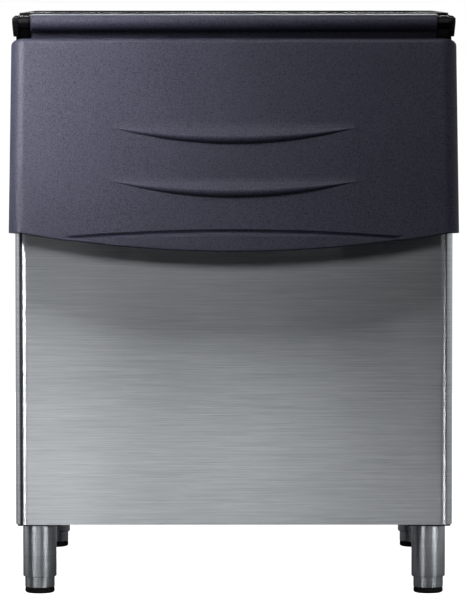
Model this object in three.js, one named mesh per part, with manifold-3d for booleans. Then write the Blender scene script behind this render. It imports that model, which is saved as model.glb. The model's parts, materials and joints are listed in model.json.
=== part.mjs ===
// Ice storage bin: a foam-filled cabinet clad in brushed stainless steel, open at the top for the
// ice machine that stands on it, with a moulded lift-up door on a sloped front and four levelling legs.
// Millimetres, +Z up, the front faces -Y. The origin is the centre of the base of the bounding box.

import * as THREE from "three";
import { mergeVertices } from "three/addons/utils/BufferGeometryUtils.js";
import Module from "manifold-3d";

const wasm = await Module();
wasm.setup();

// Cabinet: overall sizes
const cabinetWidth = 762;
const cabinetDepth = 813;
const overallHeight = 1016;
const legHeight = 125;
const doorRise = 333;
const hingeAllowance = 54.2;
const leanDegrees = 15;
const sheetThickness = 1.2;
const wrapCornerRadius = 22;
const trayFlange = 20;
const fitGap = 0.3;
const cutOverrun = 6;

// Top rim that carries the ice machine
const rimThickness = 5;
const rimInset = 4.5;
const rimLedge = 5;
const rimSkirt = 15;
const rimCornerRadius = 12;

// Moulded liner
const wallThickness = 50;
const linerThickness = 4;
const floorThickness = 65;
const floorFall = 15;
const linerCornerRadius = 60;
const linerFootFillet = 30;
const sillRise = 22;
const sillFillet = 12;
const doorTopOverlap = 9;
const headerDepth = 45;
const headerDrop = 12;
const headerFillet = 10;

// Collar that frames the sloped door opening
const collarThickness = 3;
const collarLip = 12;
const collarLipThickness = 3.6;
const collarCornerRadius = 14;
const dripLipDepth = 4.5;
const dripLipThickness = 2.2;

// Door
const doorOverhang = 6.5;
const doorThickness = 52;
const doorSeat = 6;
const doorWall = 3.2;
const doorFaceWall = 6;
const doorReturn = 22;
const doorSideRadius = 26;
const doorTopRadius = 10;
const doorBottomRadius = 5;
const doorBottomCorner = -15.5;
const doorBottomSag = 33.6;
const doorCornerFlat = 19;
const doorLinerThickness = 3;
const doorPanelRise = 5;
const doorPanelBorder = 72;
const doorPanelTaper = 10;

// Door relief: two smile-shaped ledges, and the swollen pull along the bottom edge
const smileMargin = 178.5;
const smileSag = 25;
const smileRise = 7;
const smileStep = 3.5;
const smilePower = 1.3;
const upperSmileShare = 0.5144;
const lowerSmileShare = 0.2285;
const ledgeShares = [0, 0.3, 0.6, 0.85, 1];
const aboveSmileShares = [0, 0.4, 0.8];
const pullMargin = 90.5;
const pullHeight = 41;
const pullFoot = 11;
const pullRise = 5;
const pullShoulder = 4;
const pullShoulderShare = 0.4;
const pullShoulderRiseShare = 0.75;
const pullPower = 0.65;
const pullTipSteepness = 4;

// Finger recess behind the pull
const recessMargin = 202;
const recessTop = -8;
const recessDepth = 36;
const recessCorner = 16;

// Door hinge: a rolled top edge that turns on a pin at each end
const rollRadius = 15;
const rollEndGap = 21.7;
const rollDropFromTop = 17;
const rollSetback = 37.7;
const rollNeck = 18;
const pinRadius = 6;
const pinShoulderRadius = 12;
const pinReach = 28;
const bushWall = 2.2;
const bushFlange = 2;
const bushFlangeRadius = 13;
const bracketInset = 5.3;
const bracketPlate = 5;
const bracketCrown = 13.5;
const bracketSkirt = 24.4;
const bracketFillet = 10;
const bracketNoseFillet = 11.25;
const bracketTail = 92;
const bracketTailRise = 4;
const bracketBlock = 25;
const bracketTopChamfer = 6;
const bracketFootTaper = 3;
const bracketScrewFirst = 54;
const bracketScrewPitch = 26;
const screwShankRadius = 2.2;
const screwHeadRadius = 4.4;
const screwHeadDepth = 2.4;
const screwLength = 16;
const bumperRadius = 8;
const bumperStemRadius = 3;
const bumperHeight = 30;

// Ice deflector behind the top of the door opening
const deflectorSheet = 1.5;
const deflectorSideGap = 9;
const deflectorFlange = 30;
const deflectorApron = 112;
const deflectorLeanDegrees = 22;
const deflectorHem = 10;
const thumbScrewInset = 62;
const thumbHeadRadius = 11;
const thumbCollarRadius = 7.7;
const thumbGripNotches = 10;
const thumbHeadLength = 12;
const thumbShankRadius = 3;
const thumbShankLength = 9;

// Drain
const drainInset = 113;
const drainTubeRadius = 13;
const drainBoreRadius = 9.5;
const drainFlangeRadius = 28;
const drainFlangeThickness = 3.5;
const drainSeatRadius = 34;
const drainSeatDepth = 9;
const drainTail = 14;
const drainNutThickness = 6;
const drainNutRadius = 22;
const strainerRadius = 20;
const strainerThickness = 1.6;
const strainerHoleRadius = 2.4;
const strainerRingRadius = 13.5;
const strainerHoles = 6;

// Legs
const legInset = 40;
const legSetback = 57;
const sleeveRadius = 30;
const sleeveWall = 3.4;
const sleeveLength = 91.4;
const sleeveLip = 1.6;
const innerLegRadius = 26;
const innerLegWall = 3;
const innerLegHeadroom = 26.7;
const footPadHeight = 10;
const footPadBulge = 1.2;
const footPadSpigotRadius = 9;
const footPadSpigot = 9;
const legPlateSide = 76;
const legPlateThickness = 4;
const legPlateRadius = 8;
const legSocketRadius = 14;
const legSocketRise = 14;
const legStudRadius = 8;
const legStudLength = 16;

// Facets
const roundSteps = 20;
const smallSteps = 12;
const holeSteps = 6;
const hexSides = 6;
const filletSteps = 5;
const faceColumns = 28;

// Derived sizes that several pieces share
const lean = THREE.MathUtils.degToRad(leanDegrees);
const halfWidth = cabinetWidth / 2;
const seatTop = overallHeight - rimThickness;
const frontPanelTop = seatTop - (doorRise + hingeAllowance) * Math.cos(lean);
const foamInset = sheetThickness + fitGap;
const linerHalfWidth = halfWidth - wallThickness;
const linerFloorBack = legHeight + floorThickness;
const linerBack = cabinetDepth - wallThickness;
const openingTop = doorRise - doorTopOverlap;
const throatFront = slopeY(seatTop) + headerDepth;
const headerLip = slopePoint(openingTop, -collarLip - linerThickness);
const doorHalfWidth = halfWidth + doorOverhang;
const doorFace = doorSeat + doorThickness;
const smileHalfWidth = doorHalfWidth - smileMargin;
const upperSmileTip = doorRise * upperSmileShare;
const lowerSmileTip = doorRise * lowerSmileShare;
const pullHalfWidth = doorHalfWidth - pullMargin;
const bracketInner = halfWidth - bracketInset;
const rollHalfLength = bracketInner - rollEndGap;
const deflectorHalfWidth = linerHalfWidth - deflectorSideGap;
const rollAxis = rollAxisPlace();
const doorFrontY = doorFrontPlace();

function slopeY(z) {
  return (z - frontPanelTop) * Math.tan(lean);
}

// A place on the sloped front: up is measured along the slope, out is square to it.
function slopePoint(up, out) {
  const y = up * Math.sin(lean) - out * Math.cos(lean);
  const z = frontPanelTop + up * Math.cos(lean) + out * Math.sin(lean);
  return { y, z };
}

function slopeUp(y, z) {
  return y * Math.sin(lean) + (z - frontPanelTop) * Math.cos(lean);
}

// The roll's axis lies a set distance in front of the slope, at a set drop below the seat.
function rollAxisPlace() {
  const z = overallHeight - rollDropFromTop;
  const y = slopeY(z) - rollSetback / Math.cos(lean);
  return { y, z };
}

// The door reaches furthest forward on the rounded edge of its pull.
function doorFrontPlace() {
  const up = doorBottomCorner - doorBottomSag + doorBottomRadius;
  const out = doorFace + pullRise - doorBottomRadius;
  return slopePoint(up, out).y - doorBottomRadius;
}

// Frame of the sloped front: X stays, Y runs up the slope, Z points out of it.
function slopeMatrix() {
  const across = new THREE.Vector3(1, 0, 0);
  const up = new THREE.Vector3(0, Math.sin(lean), Math.cos(lean));
  const out = new THREE.Vector3(0, -Math.cos(lean), Math.sin(lean));
  const matrix = new THREE.Matrix4().makeBasis(across, up, out);
  matrix.setPosition(0, 0, frontPanelTop);
  return matrix;
}

function ontoSlope(body) {
  return body.transform(Array.from(slopeMatrix().elements));
}

// Closed geometry to solid, and back
function solid(geometry) {
  const bare = geometry.clone();
  bare.deleteAttribute("normal");
  bare.deleteAttribute("uv");
  const merged = mergeVertices(bare, fitGap / 1000);
  const vertProperties = new Float32Array(merged.attributes.position.array);
  const triVerts = new Uint32Array(merged.index.array);
  return new wasm.Manifold(new wasm.Mesh({ numProp: 3, vertProperties, triVerts }));
}

function surfaceOf(body) {
  const mesh = body.getMesh();
  const geometry = new THREE.BufferGeometry();
  geometry.setAttribute("position", new THREE.BufferAttribute(new Float32Array(mesh.vertProperties), 3));
  geometry.setIndex(new THREE.BufferAttribute(new Uint32Array(mesh.triVerts), 1));
  geometry.computeVertexNormals();
  return geometry;
}

function union(bodies) {
  return bodies.reduce((whole, body) => whole.add(body));
}

function cutAll(body, cutters) {
  return cutters.reduce((rest, cutter) => rest.subtract(cutter), body);
}

// Box from its lowest to its highest corner
function block(low, high) {
  const geometry = new THREE.BoxGeometry(high[0] - low[0], high[1] - low[1], high[2] - low[2]);
  geometry.translate((low[0] + high[0]) / 2, (low[1] + high[1]) / 2, (low[2] + high[2]) / 2);
  return solid(geometry);
}

// Prisms: a plan outline raised along Z, a side outline (y, z) carried along X,
// and a front outline (x, z) carried along Y
function raised(shape, bottom, top) {
  const options = { depth: top - bottom, bevelEnabled: false, curveSegments: filletSteps };
  const geometry = new THREE.ExtrudeGeometry(shape, options);
  geometry.translate(0, 0, bottom);
  return solid(geometry);
}

function sideways(shape, left, right) {
  const options = { depth: right - left, bevelEnabled: false, curveSegments: filletSteps };
  const geometry = new THREE.ExtrudeGeometry(shape, options);
  geometry.translate(0, 0, left);
  const turn = new THREE.Matrix4().makeBasis(
    new THREE.Vector3(0, 1, 0),
    new THREE.Vector3(0, 0, 1),
    new THREE.Vector3(1, 0, 0),
  );
  geometry.applyMatrix4(turn);
  return solid(geometry);
}

function backwards(shape, front, back) {
  const options = { depth: back - front, bevelEnabled: false, curveSegments: filletSteps };
  const geometry = new THREE.ExtrudeGeometry(shape, options);
  geometry.rotateX(Math.PI / 2);
  geometry.translate(0, back, 0);
  return solid(geometry);
}

// Turned pieces: profile points are (radius, distance along the axis)
function turnedUp(profile, steps, place) {
  const points = profile.map(([radius, along]) => new THREE.Vector2(radius, along));
  const geometry = new THREE.LatheGeometry(points, steps);
  geometry.rotateX(Math.PI / 2);
  geometry.translate(place.x, place.y, place.z);
  return solid(geometry);
}

function turnedAcross(profile, steps, place) {
  const points = profile.map(([radius, along]) => new THREE.Vector2(radius, along));
  const geometry = new THREE.LatheGeometry(points, steps);
  geometry.rotateZ(-Math.PI / 2);
  geometry.translate(place.x, place.y, place.z);
  return solid(geometry);
}

function turnedBack(profile, steps, place) {
  const points = profile.map(([radius, along]) => new THREE.Vector2(radius, along));
  const geometry = new THREE.LatheGeometry(points, steps);
  geometry.translate(place.x, place.y, place.z);
  return solid(geometry);
}

function rodProfile(radius, start, end) {
  return [[0, start], [radius, start], [radius, end], [0, end]];
}

// Outline of straight runs whose corners are rounded: each corner is [u, v, fillet].
function filletedOutline(corners) {
  const shape = new THREE.Shape();
  const count = corners.length;
  corners.forEach(([u, v, fillet], index) => {
    const before = corners[(index + count - 1) % count];
    const after = corners[(index + 1) % count];
    const here = new THREE.Vector2(u, v);
    const inward = new THREE.Vector2(before[0] - u, before[1] - v).normalize();
    const onward = new THREE.Vector2(after[0] - u, after[1] - v).normalize();
    const start = here.clone().addScaledVector(inward, fillet);
    const end = here.clone().addScaledVector(onward, fillet);
    if (index === 0) {
      shape.moveTo(start.x, start.y);
    } else {
      shape.lineTo(start.x, start.y);
    }
    if (fillet > 0) {
      shape.quadraticCurveTo(here.x, here.y, end.x, end.y);
    }
  });
  shape.closePath();
  return shape;
}

// The same outline moved outwards by a set distance, with mitred corners
function offsetOutline(shape, distance) {
  const points = shape.getPoints(filletSteps);
  if (points[0].distanceTo(points[points.length - 1]) < fitGap / 1000) {
    points.pop();
  }
  const turn = THREE.ShapeUtils.isClockWise(points) ? -1 : 1;
  const count = points.length;
  const moved = points.map((point, index) => {
    const before = point.clone().sub(points[(index + count - 1) % count]).normalize();
    const after = points[(index + 1) % count].clone().sub(point).normalize();
    const square = new THREE.Vector2(before.y + after.y, -before.x - after.x).normalize();
    const miter = square.x * before.y - square.y * before.x;
    return point.clone().addScaledVector(square, (turn * distance) / miter);
  });
  return new THREE.Shape(moved);
}

// Plan outline of the cabinet: a rectangle whose two front corners are rounded
function cabinetPlan(inset, front) {
  const side = halfWidth - inset;
  const near = front + inset;
  const far = cabinetDepth - inset;
  const radius = wrapCornerRadius - inset;
  const shape = new THREE.Shape();
  shape.moveTo(side, far);
  shape.lineTo(-side, far);
  shape.lineTo(-side, near + radius);
  shape.absarc(-side + radius, near + radius, radius, Math.PI, 1.5 * Math.PI, false);
  shape.absarc(side - radius, near + radius, radius, -0.5 * Math.PI, 0, false);
  shape.closePath();
  return shape;
}

function cornered(low, high, radius) {
  return filletedOutline([
    [low[0], low[1], radius],
    [high[0], low[1], radius],
    [high[0], high[1], radius],
    [low[0], high[1], radius],
  ]);
}

// Everything in front of the sloped plane, moved out by a set distance
function aheadOfSlope(out) {
  const reach = cabinetDepth;
  const low = [-cabinetWidth, -reach, out];
  const high = [cabinetWidth, reach, reach];
  return ontoSlope(block(low, high));
}

function outerWrap() {
  const plan = cabinetPlan(0, 0);
  const hollow = cabinetPlan(sheetThickness, 0);
  const shell = raised(plan, legHeight, seatTop);
  const inside = raised(hollow, legHeight - cutOverrun, seatTop + cutOverrun);
  const back = block(
    [-halfWidth + sheetThickness, cabinetDepth - wallThickness, legHeight - cutOverrun],
    [halfWidth - sheetThickness, cabinetDepth + cutOverrun, seatTop + cutOverrun],
  );
  return cutAll(shell, [inside, back, aheadOfSlope(0), ...bracketScrewHoles()]);
}

// Back sheet with its edges folded forward inside the wrap
function backPanel() {
  const side = halfWidth - foamInset;
  const near = cabinetDepth - trayFlange;
  const top = seatTop - fitGap;
  const tray = block([-side, near, legHeight], [side, cabinetDepth, top]);
  const inside = block(
    [-side + sheetThickness, near - cutOverrun, legHeight + sheetThickness],
    [side - sheetThickness, cabinetDepth - sheetThickness, top - sheetThickness],
  );
  return tray.subtract(inside);
}

// Bottom sheet with its edges folded up inside the wrap
function basePan() {
  const far = cabinetDepth - trayFlange - fitGap;
  const ends = block(
    [-halfWidth, far, legHeight - cutOverrun],
    [halfWidth, cabinetDepth + cutOverrun, legHeight + trayFlange + cutOverrun],
  );
  const tray = raised(cabinetPlan(foamInset, 0), legHeight, legHeight + trayFlange);
  const hollow = cabinetPlan(foamInset + sheetThickness, 0);
  const inside = raised(hollow, legHeight + sheetThickness, legHeight + trayFlange + cutOverrun);
  const sockets = legPlaces().map((place) => legSocketHole(place));
  return cutAll(tray, [ends, inside, ...sockets, drainHole()]);
}

// Side outline (y, z) of the space inside the liner, carried past the slope and the seat.
// Its sill and header stand square to the slope, where the collar's lip lies on them.
function cavityOutline() {
  const beyond = wallThickness;
  const above = seatTop + wallThickness;
  const sillOuter = slopePoint(sillRise, beyond);
  const sillDepth = (wallThickness - sillRise * Math.sin(lean)) / Math.cos(lean);
  const sillInner = slopePoint(sillRise, -sillDepth);
  const headerOuter = slopePoint(openingTop, beyond);
  return filletedOutline([
    [wallThickness, linerFloorBack + floorFall, linerFootFillet],
    [sillInner.y, sillInner.z, sillFillet],
    [sillOuter.y, sillOuter.z, 0],
    [headerOuter.y, headerOuter.z, 0],
    [headerLip.y, headerLip.z, 0],
    [throatFront, headerLip.z + headerDrop, headerFillet],
    [throatFront, above, 0],
    [linerBack, above, 0],
    [linerBack, linerFloorBack, linerFootFillet],
  ]);
}

// Solid of the liner's inner space, grown by a set distance
function tubSolid(growth) {
  const half = linerHalfWidth + growth;
  const outline = offsetOutline(cavityOutline(), growth);
  const across = sideways(outline, -half, half);
  const back = linerBack + growth;
  const radius = linerCornerRadius + growth;
  const plan = filletedOutline([
    [-half, -cabinetDepth, 0],
    [half, -cabinetDepth, 0],
    [half, back, radius],
    [-half, back, radius],
  ]);
  return across.intersect(raised(plan, 0, overallHeight + cabinetDepth));
}

function aboveSeat() {
  return block(
    [-cabinetWidth, -cabinetDepth, seatTop - fitGap],
    [cabinetWidth, 2 * cabinetDepth, overallHeight + cabinetDepth],
  );
}

// Solid round the drain's axis, from a set depth below the liner's floor up to above it
function drainSlug(radius, depth) {
  const floor = linerFloorAt(drainInset);
  return turnedUp(rodProfile(radius, floor - depth, floor + floorThickness), roundSteps, drainPlace());
}

function liner() {
  const shell = tubSolid(linerThickness).subtract(tubSolid(0));
  const opening = drainSlug(drainSeatRadius + fitGap, drainSeatDepth + fitGap);
  const cuts = [aboveSeat(), aheadOfSlope(-fitGap), opening, ...thumbScrewHoles(fitGap)];
  return cutAll(shell, cuts);
}

// Moulded seat let into the liner's floor, with a pocket for the drain's flange
function drainSeat() {
  const floor = linerFloorAt(drainInset);
  const pocketDepth = floor - drainFlangeBottom() + fitGap;
  const body = drainSlug(drainSeatRadius, drainSeatDepth).subtract(tubSolid(0));
  return cutAll(body, [drainSlug(drainFlangeRadius + fitGap, pocketDepth), drainHole()]);
}

// Poured foam between the liner and the sheet metal
function foamInsulation() {
  const fill = raised(cabinetPlan(foamInset, 0), legHeight + foamInset, seatTop - fitGap);
  const backCut = block(
    [-cabinetWidth, cabinetDepth - foamInset, 0],
    [cabinetWidth, 2 * cabinetDepth, 2 * overallHeight],
  );
  const sockets = legPlaces().map((place) => legSocketHole(place));
  return cutAll(fill, [
    backCut,
    tubSolid(linerThickness + fitGap),
    aheadOfSlope(-fitGap),
    trayClearance(),
    backTrayClearance(),
    drainSlug(drainSeatRadius + fitGap, drainSeatDepth + fitGap),
    drainHole(),
    ...sockets,
    ...bracketScrewHoles(),
    ...thumbScrewHoles(fitGap),
  ]);
}

// Space that the base pan's folded edge takes out of the foam
function trayClearance() {
  const top = legHeight + trayFlange + fitGap;
  const outside = raised(cabinetPlan(0, 0), legHeight, top);
  const inside = cabinetPlan(foamInset + sheetThickness + fitGap, 0);
  return outside.subtract(raised(inside, legHeight - cutOverrun, top + cutOverrun));
}

// Space that the back panel's folded edge takes out of the foam
function backTrayClearance() {
  const near = cabinetDepth - trayFlange - fitGap;
  const side = halfWidth - foamInset - sheetThickness - fitGap;
  const frame = block([-halfWidth, near, legHeight], [halfWidth, cabinetDepth, overallHeight]);
  const inside = block(
    [-side, near - cutOverrun, legHeight + sheetThickness + fitGap],
    [side, cabinetDepth + cutOverrun, seatTop - sheetThickness - 2 * fitGap],
  );
  return frame.subtract(inside);
}

// Flat rim on the open top, with a skirt that hooks down inside the liner
function topRim() {
  const side = halfWidth - rimInset;
  const near = slopeY(overallHeight) + fitGap;
  const far = cabinetDepth - rimInset;
  const throatSide = linerHalfWidth - rimLedge;
  const throatNear = throatFront + rimLedge;
  const throatFar = linerBack - rimLedge;
  const throatRadius = linerCornerRadius - rimLedge;
  const plate = raised(cornered([-side, near], [side, far], rimCornerRadius), seatTop, overallHeight);
  const skirtRadius = linerCornerRadius - fitGap;
  const skirtSide = linerHalfWidth - fitGap;
  const skirt = raised(
    filletedOutline([
      [-skirtSide, throatFront + fitGap, rimCornerRadius],
      [skirtSide, throatFront + fitGap, rimCornerRadius],
      [skirtSide, linerBack - fitGap, skirtRadius],
      [-skirtSide, linerBack - fitGap, skirtRadius],
    ]),
    seatTop - rimSkirt,
    overallHeight - rimThickness / 2,
  );
  const throat = raised(
    filletedOutline([
      [-throatSide, throatNear, rimCornerRadius],
      [throatSide, throatNear, rimCornerRadius],
      [throatSide, throatFar, throatRadius],
      [-throatSide, throatFar, throatRadius],
    ]),
    seatTop - rimSkirt - cutOverrun,
    overallHeight + cutOverrun,
  );
  return union([plate, skirt]).subtract(throat);
}

// Moulded collar on the slope: a flat frame with a lip turned into the opening and a drip lip below
function doorCollar() {
  const top = slopeUp(slopeY(seatTop), seatTop) - fitGap;
  const inner = linerHalfWidth - fitGap;
  const clear = inner - collarLipThickness;
  const lipLow = sillRise + fitGap;
  const lipHigh = openingTop - fitGap;
  const plate = raised(cornered([-halfWidth, 0], [halfWidth, top], 0), 0, collarThickness);
  const lip = raised(
    cornered([-inner, lipLow], [inner, lipHigh], collarCornerRadius),
    -collarLip,
    collarThickness,
  );
  const window = raised(
    cornered(
      [-clear, lipLow + collarLipThickness],
      [clear, lipHigh - collarLipThickness],
      collarCornerRadius - collarLipThickness,
    ),
    -collarLip - cutOverrun,
    collarThickness + cutOverrun,
  );
  const frame = ontoSlope(union([plate, lip]).subtract(window));
  const plan = raised(cabinetPlan(0, -collarThickness), 0, seatTop);
  const dripHalf = halfWidth - wrapCornerRadius;
  const drip = block(
    [-dripHalf, -fitGap - dripLipThickness, frontPanelTop - dripLipDepth],
    [dripHalf, -fitGap, frontPanelTop + collarThickness * Math.sin(lean)],
  );
  const holes = [-1, 1].map((side) => bumperStem(side, fitGap));
  return cutAll(frame.intersect(plan).add(drip), holes);
}

// Rubber stop between the collar and the closed door
function bumperPlace(side) {
  return { x: side * (halfWidth - wallThickness / 2), up: bumperHeight };
}

function bumperStem(side, growth) {
  const place = bumperPlace(side);
  const stem = turnedUp(
    rodProfile(bumperStemRadius + growth, -collarThickness, collarThickness + growth),
    smallSteps,
    { x: place.x, y: place.up, z: 0 },
  );
  return ontoSlope(stem);
}

function doorBumper(side) {
  const place = bumperPlace(side);
  const crown = doorSeat - fitGap;
  const seat = collarThickness + fitGap;
  const profile = [
    [0, fitGap],
    [bumperStemRadius, fitGap],
    [bumperStemRadius, seat],
    [bumperRadius, seat],
    [bumperRadius, (seat + crown) / 2],
    [bumperRadius - bumperStemRadius / 2, crown],
    [0, crown],
  ];
  const body = turnedUp(profile, smallSteps, { x: place.x, y: place.up, z: 0 });
  return ontoSlope(body);
}

// Height up the slope of the door's bottom edge: a parabola that sags at the middle, flat at both corners
function doorBottomAt(x) {
  return doorBottomCorner - doorBottomSag * swell(x, doorHalfWidth - doorCornerFlat);
}

// The door's underside is level from front to back: everything below it, raised by a set distance
function belowDoor(growth) {
  const shape = new THREE.Shape();
  const half = doorHalfWidth + cutOverrun;
  shape.moveTo(half, 0);
  shape.lineTo(-half, 0);
  for (let step = 0; step <= faceColumns; step += 1) {
    const x = half * (-1 + (2 * step) / faceColumns);
    const edge = slopePoint(doorBottomAt(x), doorFace + pullRiseAt(x) - doorBottomRadius);
    shape.lineTo(x, edge.z + fitGap + growth);
  }
  shape.closePath();
  return backwards(shape, -cabinetDepth, cabinetDepth);
}

// Share of a swelling's full height: 1 at the middle, 0 at its tips and beyond
function swell(x, reach) {
  const share = x / reach;
  return Math.max(0, 1 - share * share);
}

// Rows of the door's outer face from top to bottom. Each gives, for a place x across the door,
// how far up the slope the row lies and how far the face swells out there.
function faceRows() {
  const rows = [];
  const flat = (up) => rows.push(() => ({ up, rise: 0 }));
  const smile = (tip) => {
    ledgeShares.forEach((share) => {
      rows.push((x) => {
        const p = swell(x, smileHalfWidth);
        const up = tip - smileStep * share - smileSag * p * share;
        return { up, rise: smileRise * p * share ** smilePower };
      });
    });
    rows.push((x) => {
      const p = swell(x, smileHalfWidth);
      return { up: tip - 2 * smileStep - smileSag * p, rise: 0 };
    });
  };
  const midway = (tip, below) => {
    rows.push((x) => {
      const above = tip - 2 * smileStep - smileSag * swell(x, smileHalfWidth);
      return { up: (above + below(x)) / 2, rise: 0 };
    });
  };
  const faceTop = doorRise - doorTopRadius;
  aboveSmileShares.forEach((share) => flat(faceTop + (upperSmileTip - faceTop) * share));
  smile(upperSmileTip);
  midway(upperSmileTip, () => lowerSmileTip);
  smile(lowerSmileTip);
  midway(lowerSmileTip, pullTopAt);
  rows.push((x) => ({ up: pullTopAt(x), rise: 0 }));
  rows.push((x) => ({
    up: pullTopAt(x) - pullShoulder * pullShoulderShare,
    rise: pullRiseAt(x) * pullShoulderRiseShare,
  }));
  rows.push((x) => ({ up: pullTopAt(x) - pullShoulder, rise: pullRiseAt(x) }));
  rows.push((x) => ({ up: doorBottomAt(x) + doorBottomRadius, rise: pullRiseAt(x) }));
  return rows;
}

function pullTopAt(x) {
  const share = swell(x, pullHalfWidth) ** pullPower;
  return doorBottomAt(x) + pullFoot + (pullHeight - pullFoot) * share;
}

function pullRiseAt(x) {
  return pullRise * Math.min(1, pullTipSteepness * swell(x, pullHalfWidth));
}

// Stations across the door from the left return round both edges to the right return
function acrossStations() {
  const flatHalf = doorHalfWidth - doorSideRadius;
  const stations = [];
  for (let step = 0; step <= filletSteps; step += 1) {
    const angle = (-Math.PI / 2) * (1 - step / filletSteps);
    stations.push({ x: -flatHalf, turn: angle, edge: -1 });
  }
  for (let step = 1; step < faceColumns; step += 1) {
    stations.push({ x: flatHalf * (-1 + (2 * step) / faceColumns), turn: 0, edge: 0 });
  }
  for (let step = 0; step <= filletSteps; step += 1) {
    const angle = ((Math.PI / 2) * step) / filletSteps;
    stations.push({ x: flatHalf, turn: angle, edge: 1 });
  }
  return stations;
}

// One ring of the door block: over the face from return to return, then straight back along the rear.
// The inset draws the whole ring in, for the rounded top and bottom edges.
function doorRing(row, inset, shift) {
  const stations = acrossStations();
  const rear = -doorReturn;
  const front = stations.map(({ x, turn, edge }) => {
    const radius = doorSideRadius - inset;
    const { up, rise } = row(x + edge * doorSideRadius * Math.sin(Math.abs(turn)));
    const across = x + edge * radius * Math.sin(Math.abs(turn));
    const out = doorFace - doorSideRadius + radius * Math.cos(turn) + rise;
    return new THREE.Vector3(across, up + shift, out);
  });
  const back = front.map((point) => new THREE.Vector3(point.x, point.y, rear));
  return { front, back };
}

// The door block: rings lofted from the top edge to the bottom edge and closed at both ends
function doorBlock() {
  const rows = faceRows();
  const rings = [];
  for (let step = 0; step < filletSteps; step += 1) {
    const angle = (Math.PI / 2) * (1 - step / filletSteps);
    const inset = doorTopRadius * (1 - Math.cos(angle));
    const shift = doorTopRadius * Math.sin(angle);
    rings.push(doorRing(rows[0], inset, shift));
  }
  rows.forEach((row) => rings.push(doorRing(row, 0, 0)));
  for (let step = 1; step <= filletSteps; step += 1) {
    const angle = ((Math.PI / 2) * step) / filletSteps;
    const inset = doorBottomRadius * (1 - Math.cos(angle));
    const shift = -doorBottomRadius * Math.sin(angle);
    rings.push(doorRing(rows[rows.length - 1], inset, shift));
  }
  return loftedRings(rings);
}

// Solid through a stack of rings, each a front row and a back row of as many points
function loftedRings(rings) {
  const positions = [];
  const index = [];
  const count = rings[0].front.length;
  const loop = 2 * count;
  rings.forEach(({ front, back }) => {
    const around = [...front, ...back.slice().reverse()];
    around.forEach((point) => positions.push(point.x, point.y, point.z));
  });
  const quad = (a, b, c, d) => index.push(a, b, c, a, c, d);
  for (let level = 0; level < rings.length - 1; level += 1) {
    const here = level * loop;
    const next = here + loop;
    for (let step = 0; step < loop; step += 1) {
      const after = (step + 1) % loop;
      quad(here + step, next + step, next + after, here + after);
    }
  }
  const last = (rings.length - 1) * loop;
  for (let step = 0; step < count - 1; step += 1) {
    const rearStep = loop - 1 - step;
    quad(step, step + 1, rearStep - 1, rearStep);
    quad(last + step, last + rearStep, last + rearStep - 1, last + step + 1);
  }
  const geometry = new THREE.BufferGeometry();
  geometry.setAttribute("position", new THREE.Float32BufferAttribute(positions, 3));
  geometry.setIndex(index);
  return solid(geometry);
}

// Space for the foam inside the door shell, drawn in from the sides, top and bottom edges
function doorCavity(shrink, back, front, corner) {
  const half = doorHalfWidth - doorWall - shrink;
  const top = doorRise - doorWall - shrink;
  const shape = new THREE.Shape();
  shape.moveTo(-half, top);
  const columns = faceColumns / 2;
  for (let step = 0; step <= columns; step += 1) {
    const x = half * (-1 + (2 * step) / columns);
    shape.lineTo(x, doorBottomAt(x) + doorWall + shrink);
  }
  shape.lineTo(half, top);
  shape.closePath();
  const slab = raised(shape, back, front);
  if (corner === 0) {
    return slab;
  }
  const section = filletedOutline([
    [-half, back - cutOverrun, 0],
    [half, back - cutOverrun, 0],
    [half, front, corner],
    [-half, front, corner],
  ]);
  return slab.intersect(upTheSlope(section, -doorThickness - doorBottomSag, doorRise));
}

// Section outline (x, out) carried up the slope
function upTheSlope(shape, low, high) {
  const options = { depth: high - low, bevelEnabled: false, curveSegments: filletSteps };
  const geometry = new THREE.ExtrudeGeometry(shape, options);
  geometry.rotateX(Math.PI / 2);
  geometry.translate(0, high, 0);
  return solid(geometry);
}

// Recess open to the rear and to the bottom edge, grown by a set distance on its other sides
function fingerRecess(growth) {
  const half = doorHalfWidth - recessMargin + growth;
  const low = doorBottomCorner - doorBottomSag - cutOverrun;
  const corner = recessCorner + growth;
  const outline = filletedOutline([
    [-half, low, 0],
    [half, low, 0],
    [half, recessTop + growth, corner],
    [-half, recessTop + growth, corner],
  ]);
  return raised(outline, -doorReturn, doorSeat + recessDepth + growth);
}

function doorShell() {
  const whole = doorBlock();
  const half = doorHalfWidth - doorWall;
  const low = doorBottomCorner - doorBottomSag - cutOverrun;
  const rearCut = block([-half, low, -doorReturn - cutOverrun], [half, doorRise + cutOverrun, doorSeat]);
  const corner = doorSideRadius - doorWall;
  const cavity = doorCavity(0, doorSeat - cutOverrun, doorFace - doorFaceWall, corner);
  const inside = ontoSlope(cavity).subtract(belowDoor(doorWall));
  const recess = ontoSlope(fingerRecess(doorLinerThickness + fitGap));
  const shell = cutAll(ontoSlope(whole.subtract(rearCut)), [inside, recess, belowDoor(0)]);
  const bores = [-1, 1].map((side) => bushBore(side));
  return cutAll(union([shell, rollAndNeck()]), bores);
}

// The rolled top edge and the neck that joins it to the door
function rollAndNeck() {
  const roll = turnedAcross(rodProfile(rollRadius, -rollHalfLength, rollHalfLength), roundSteps, {
    x: 0,
    y: rollAxis.y,
    z: rollAxis.z,
  });
  const half = rollNeck / 2;
  const footUp = doorRise - doorWall / 2;
  const footOut = doorFace - doorThickness / 2;
  const near = slopePoint(footUp, footOut + half);
  const far = slopePoint(footUp, footOut - half);
  const outline = filletedOutline([
    [near.y, near.z, 0],
    [far.y, far.z, 0],
    [rollAxis.y + half, rollAxis.z, 0],
    [rollAxis.y - half, rollAxis.z, 0],
  ]);
  return union([roll, sideways(outline, -rollHalfLength, rollHalfLength)]);
}

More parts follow.
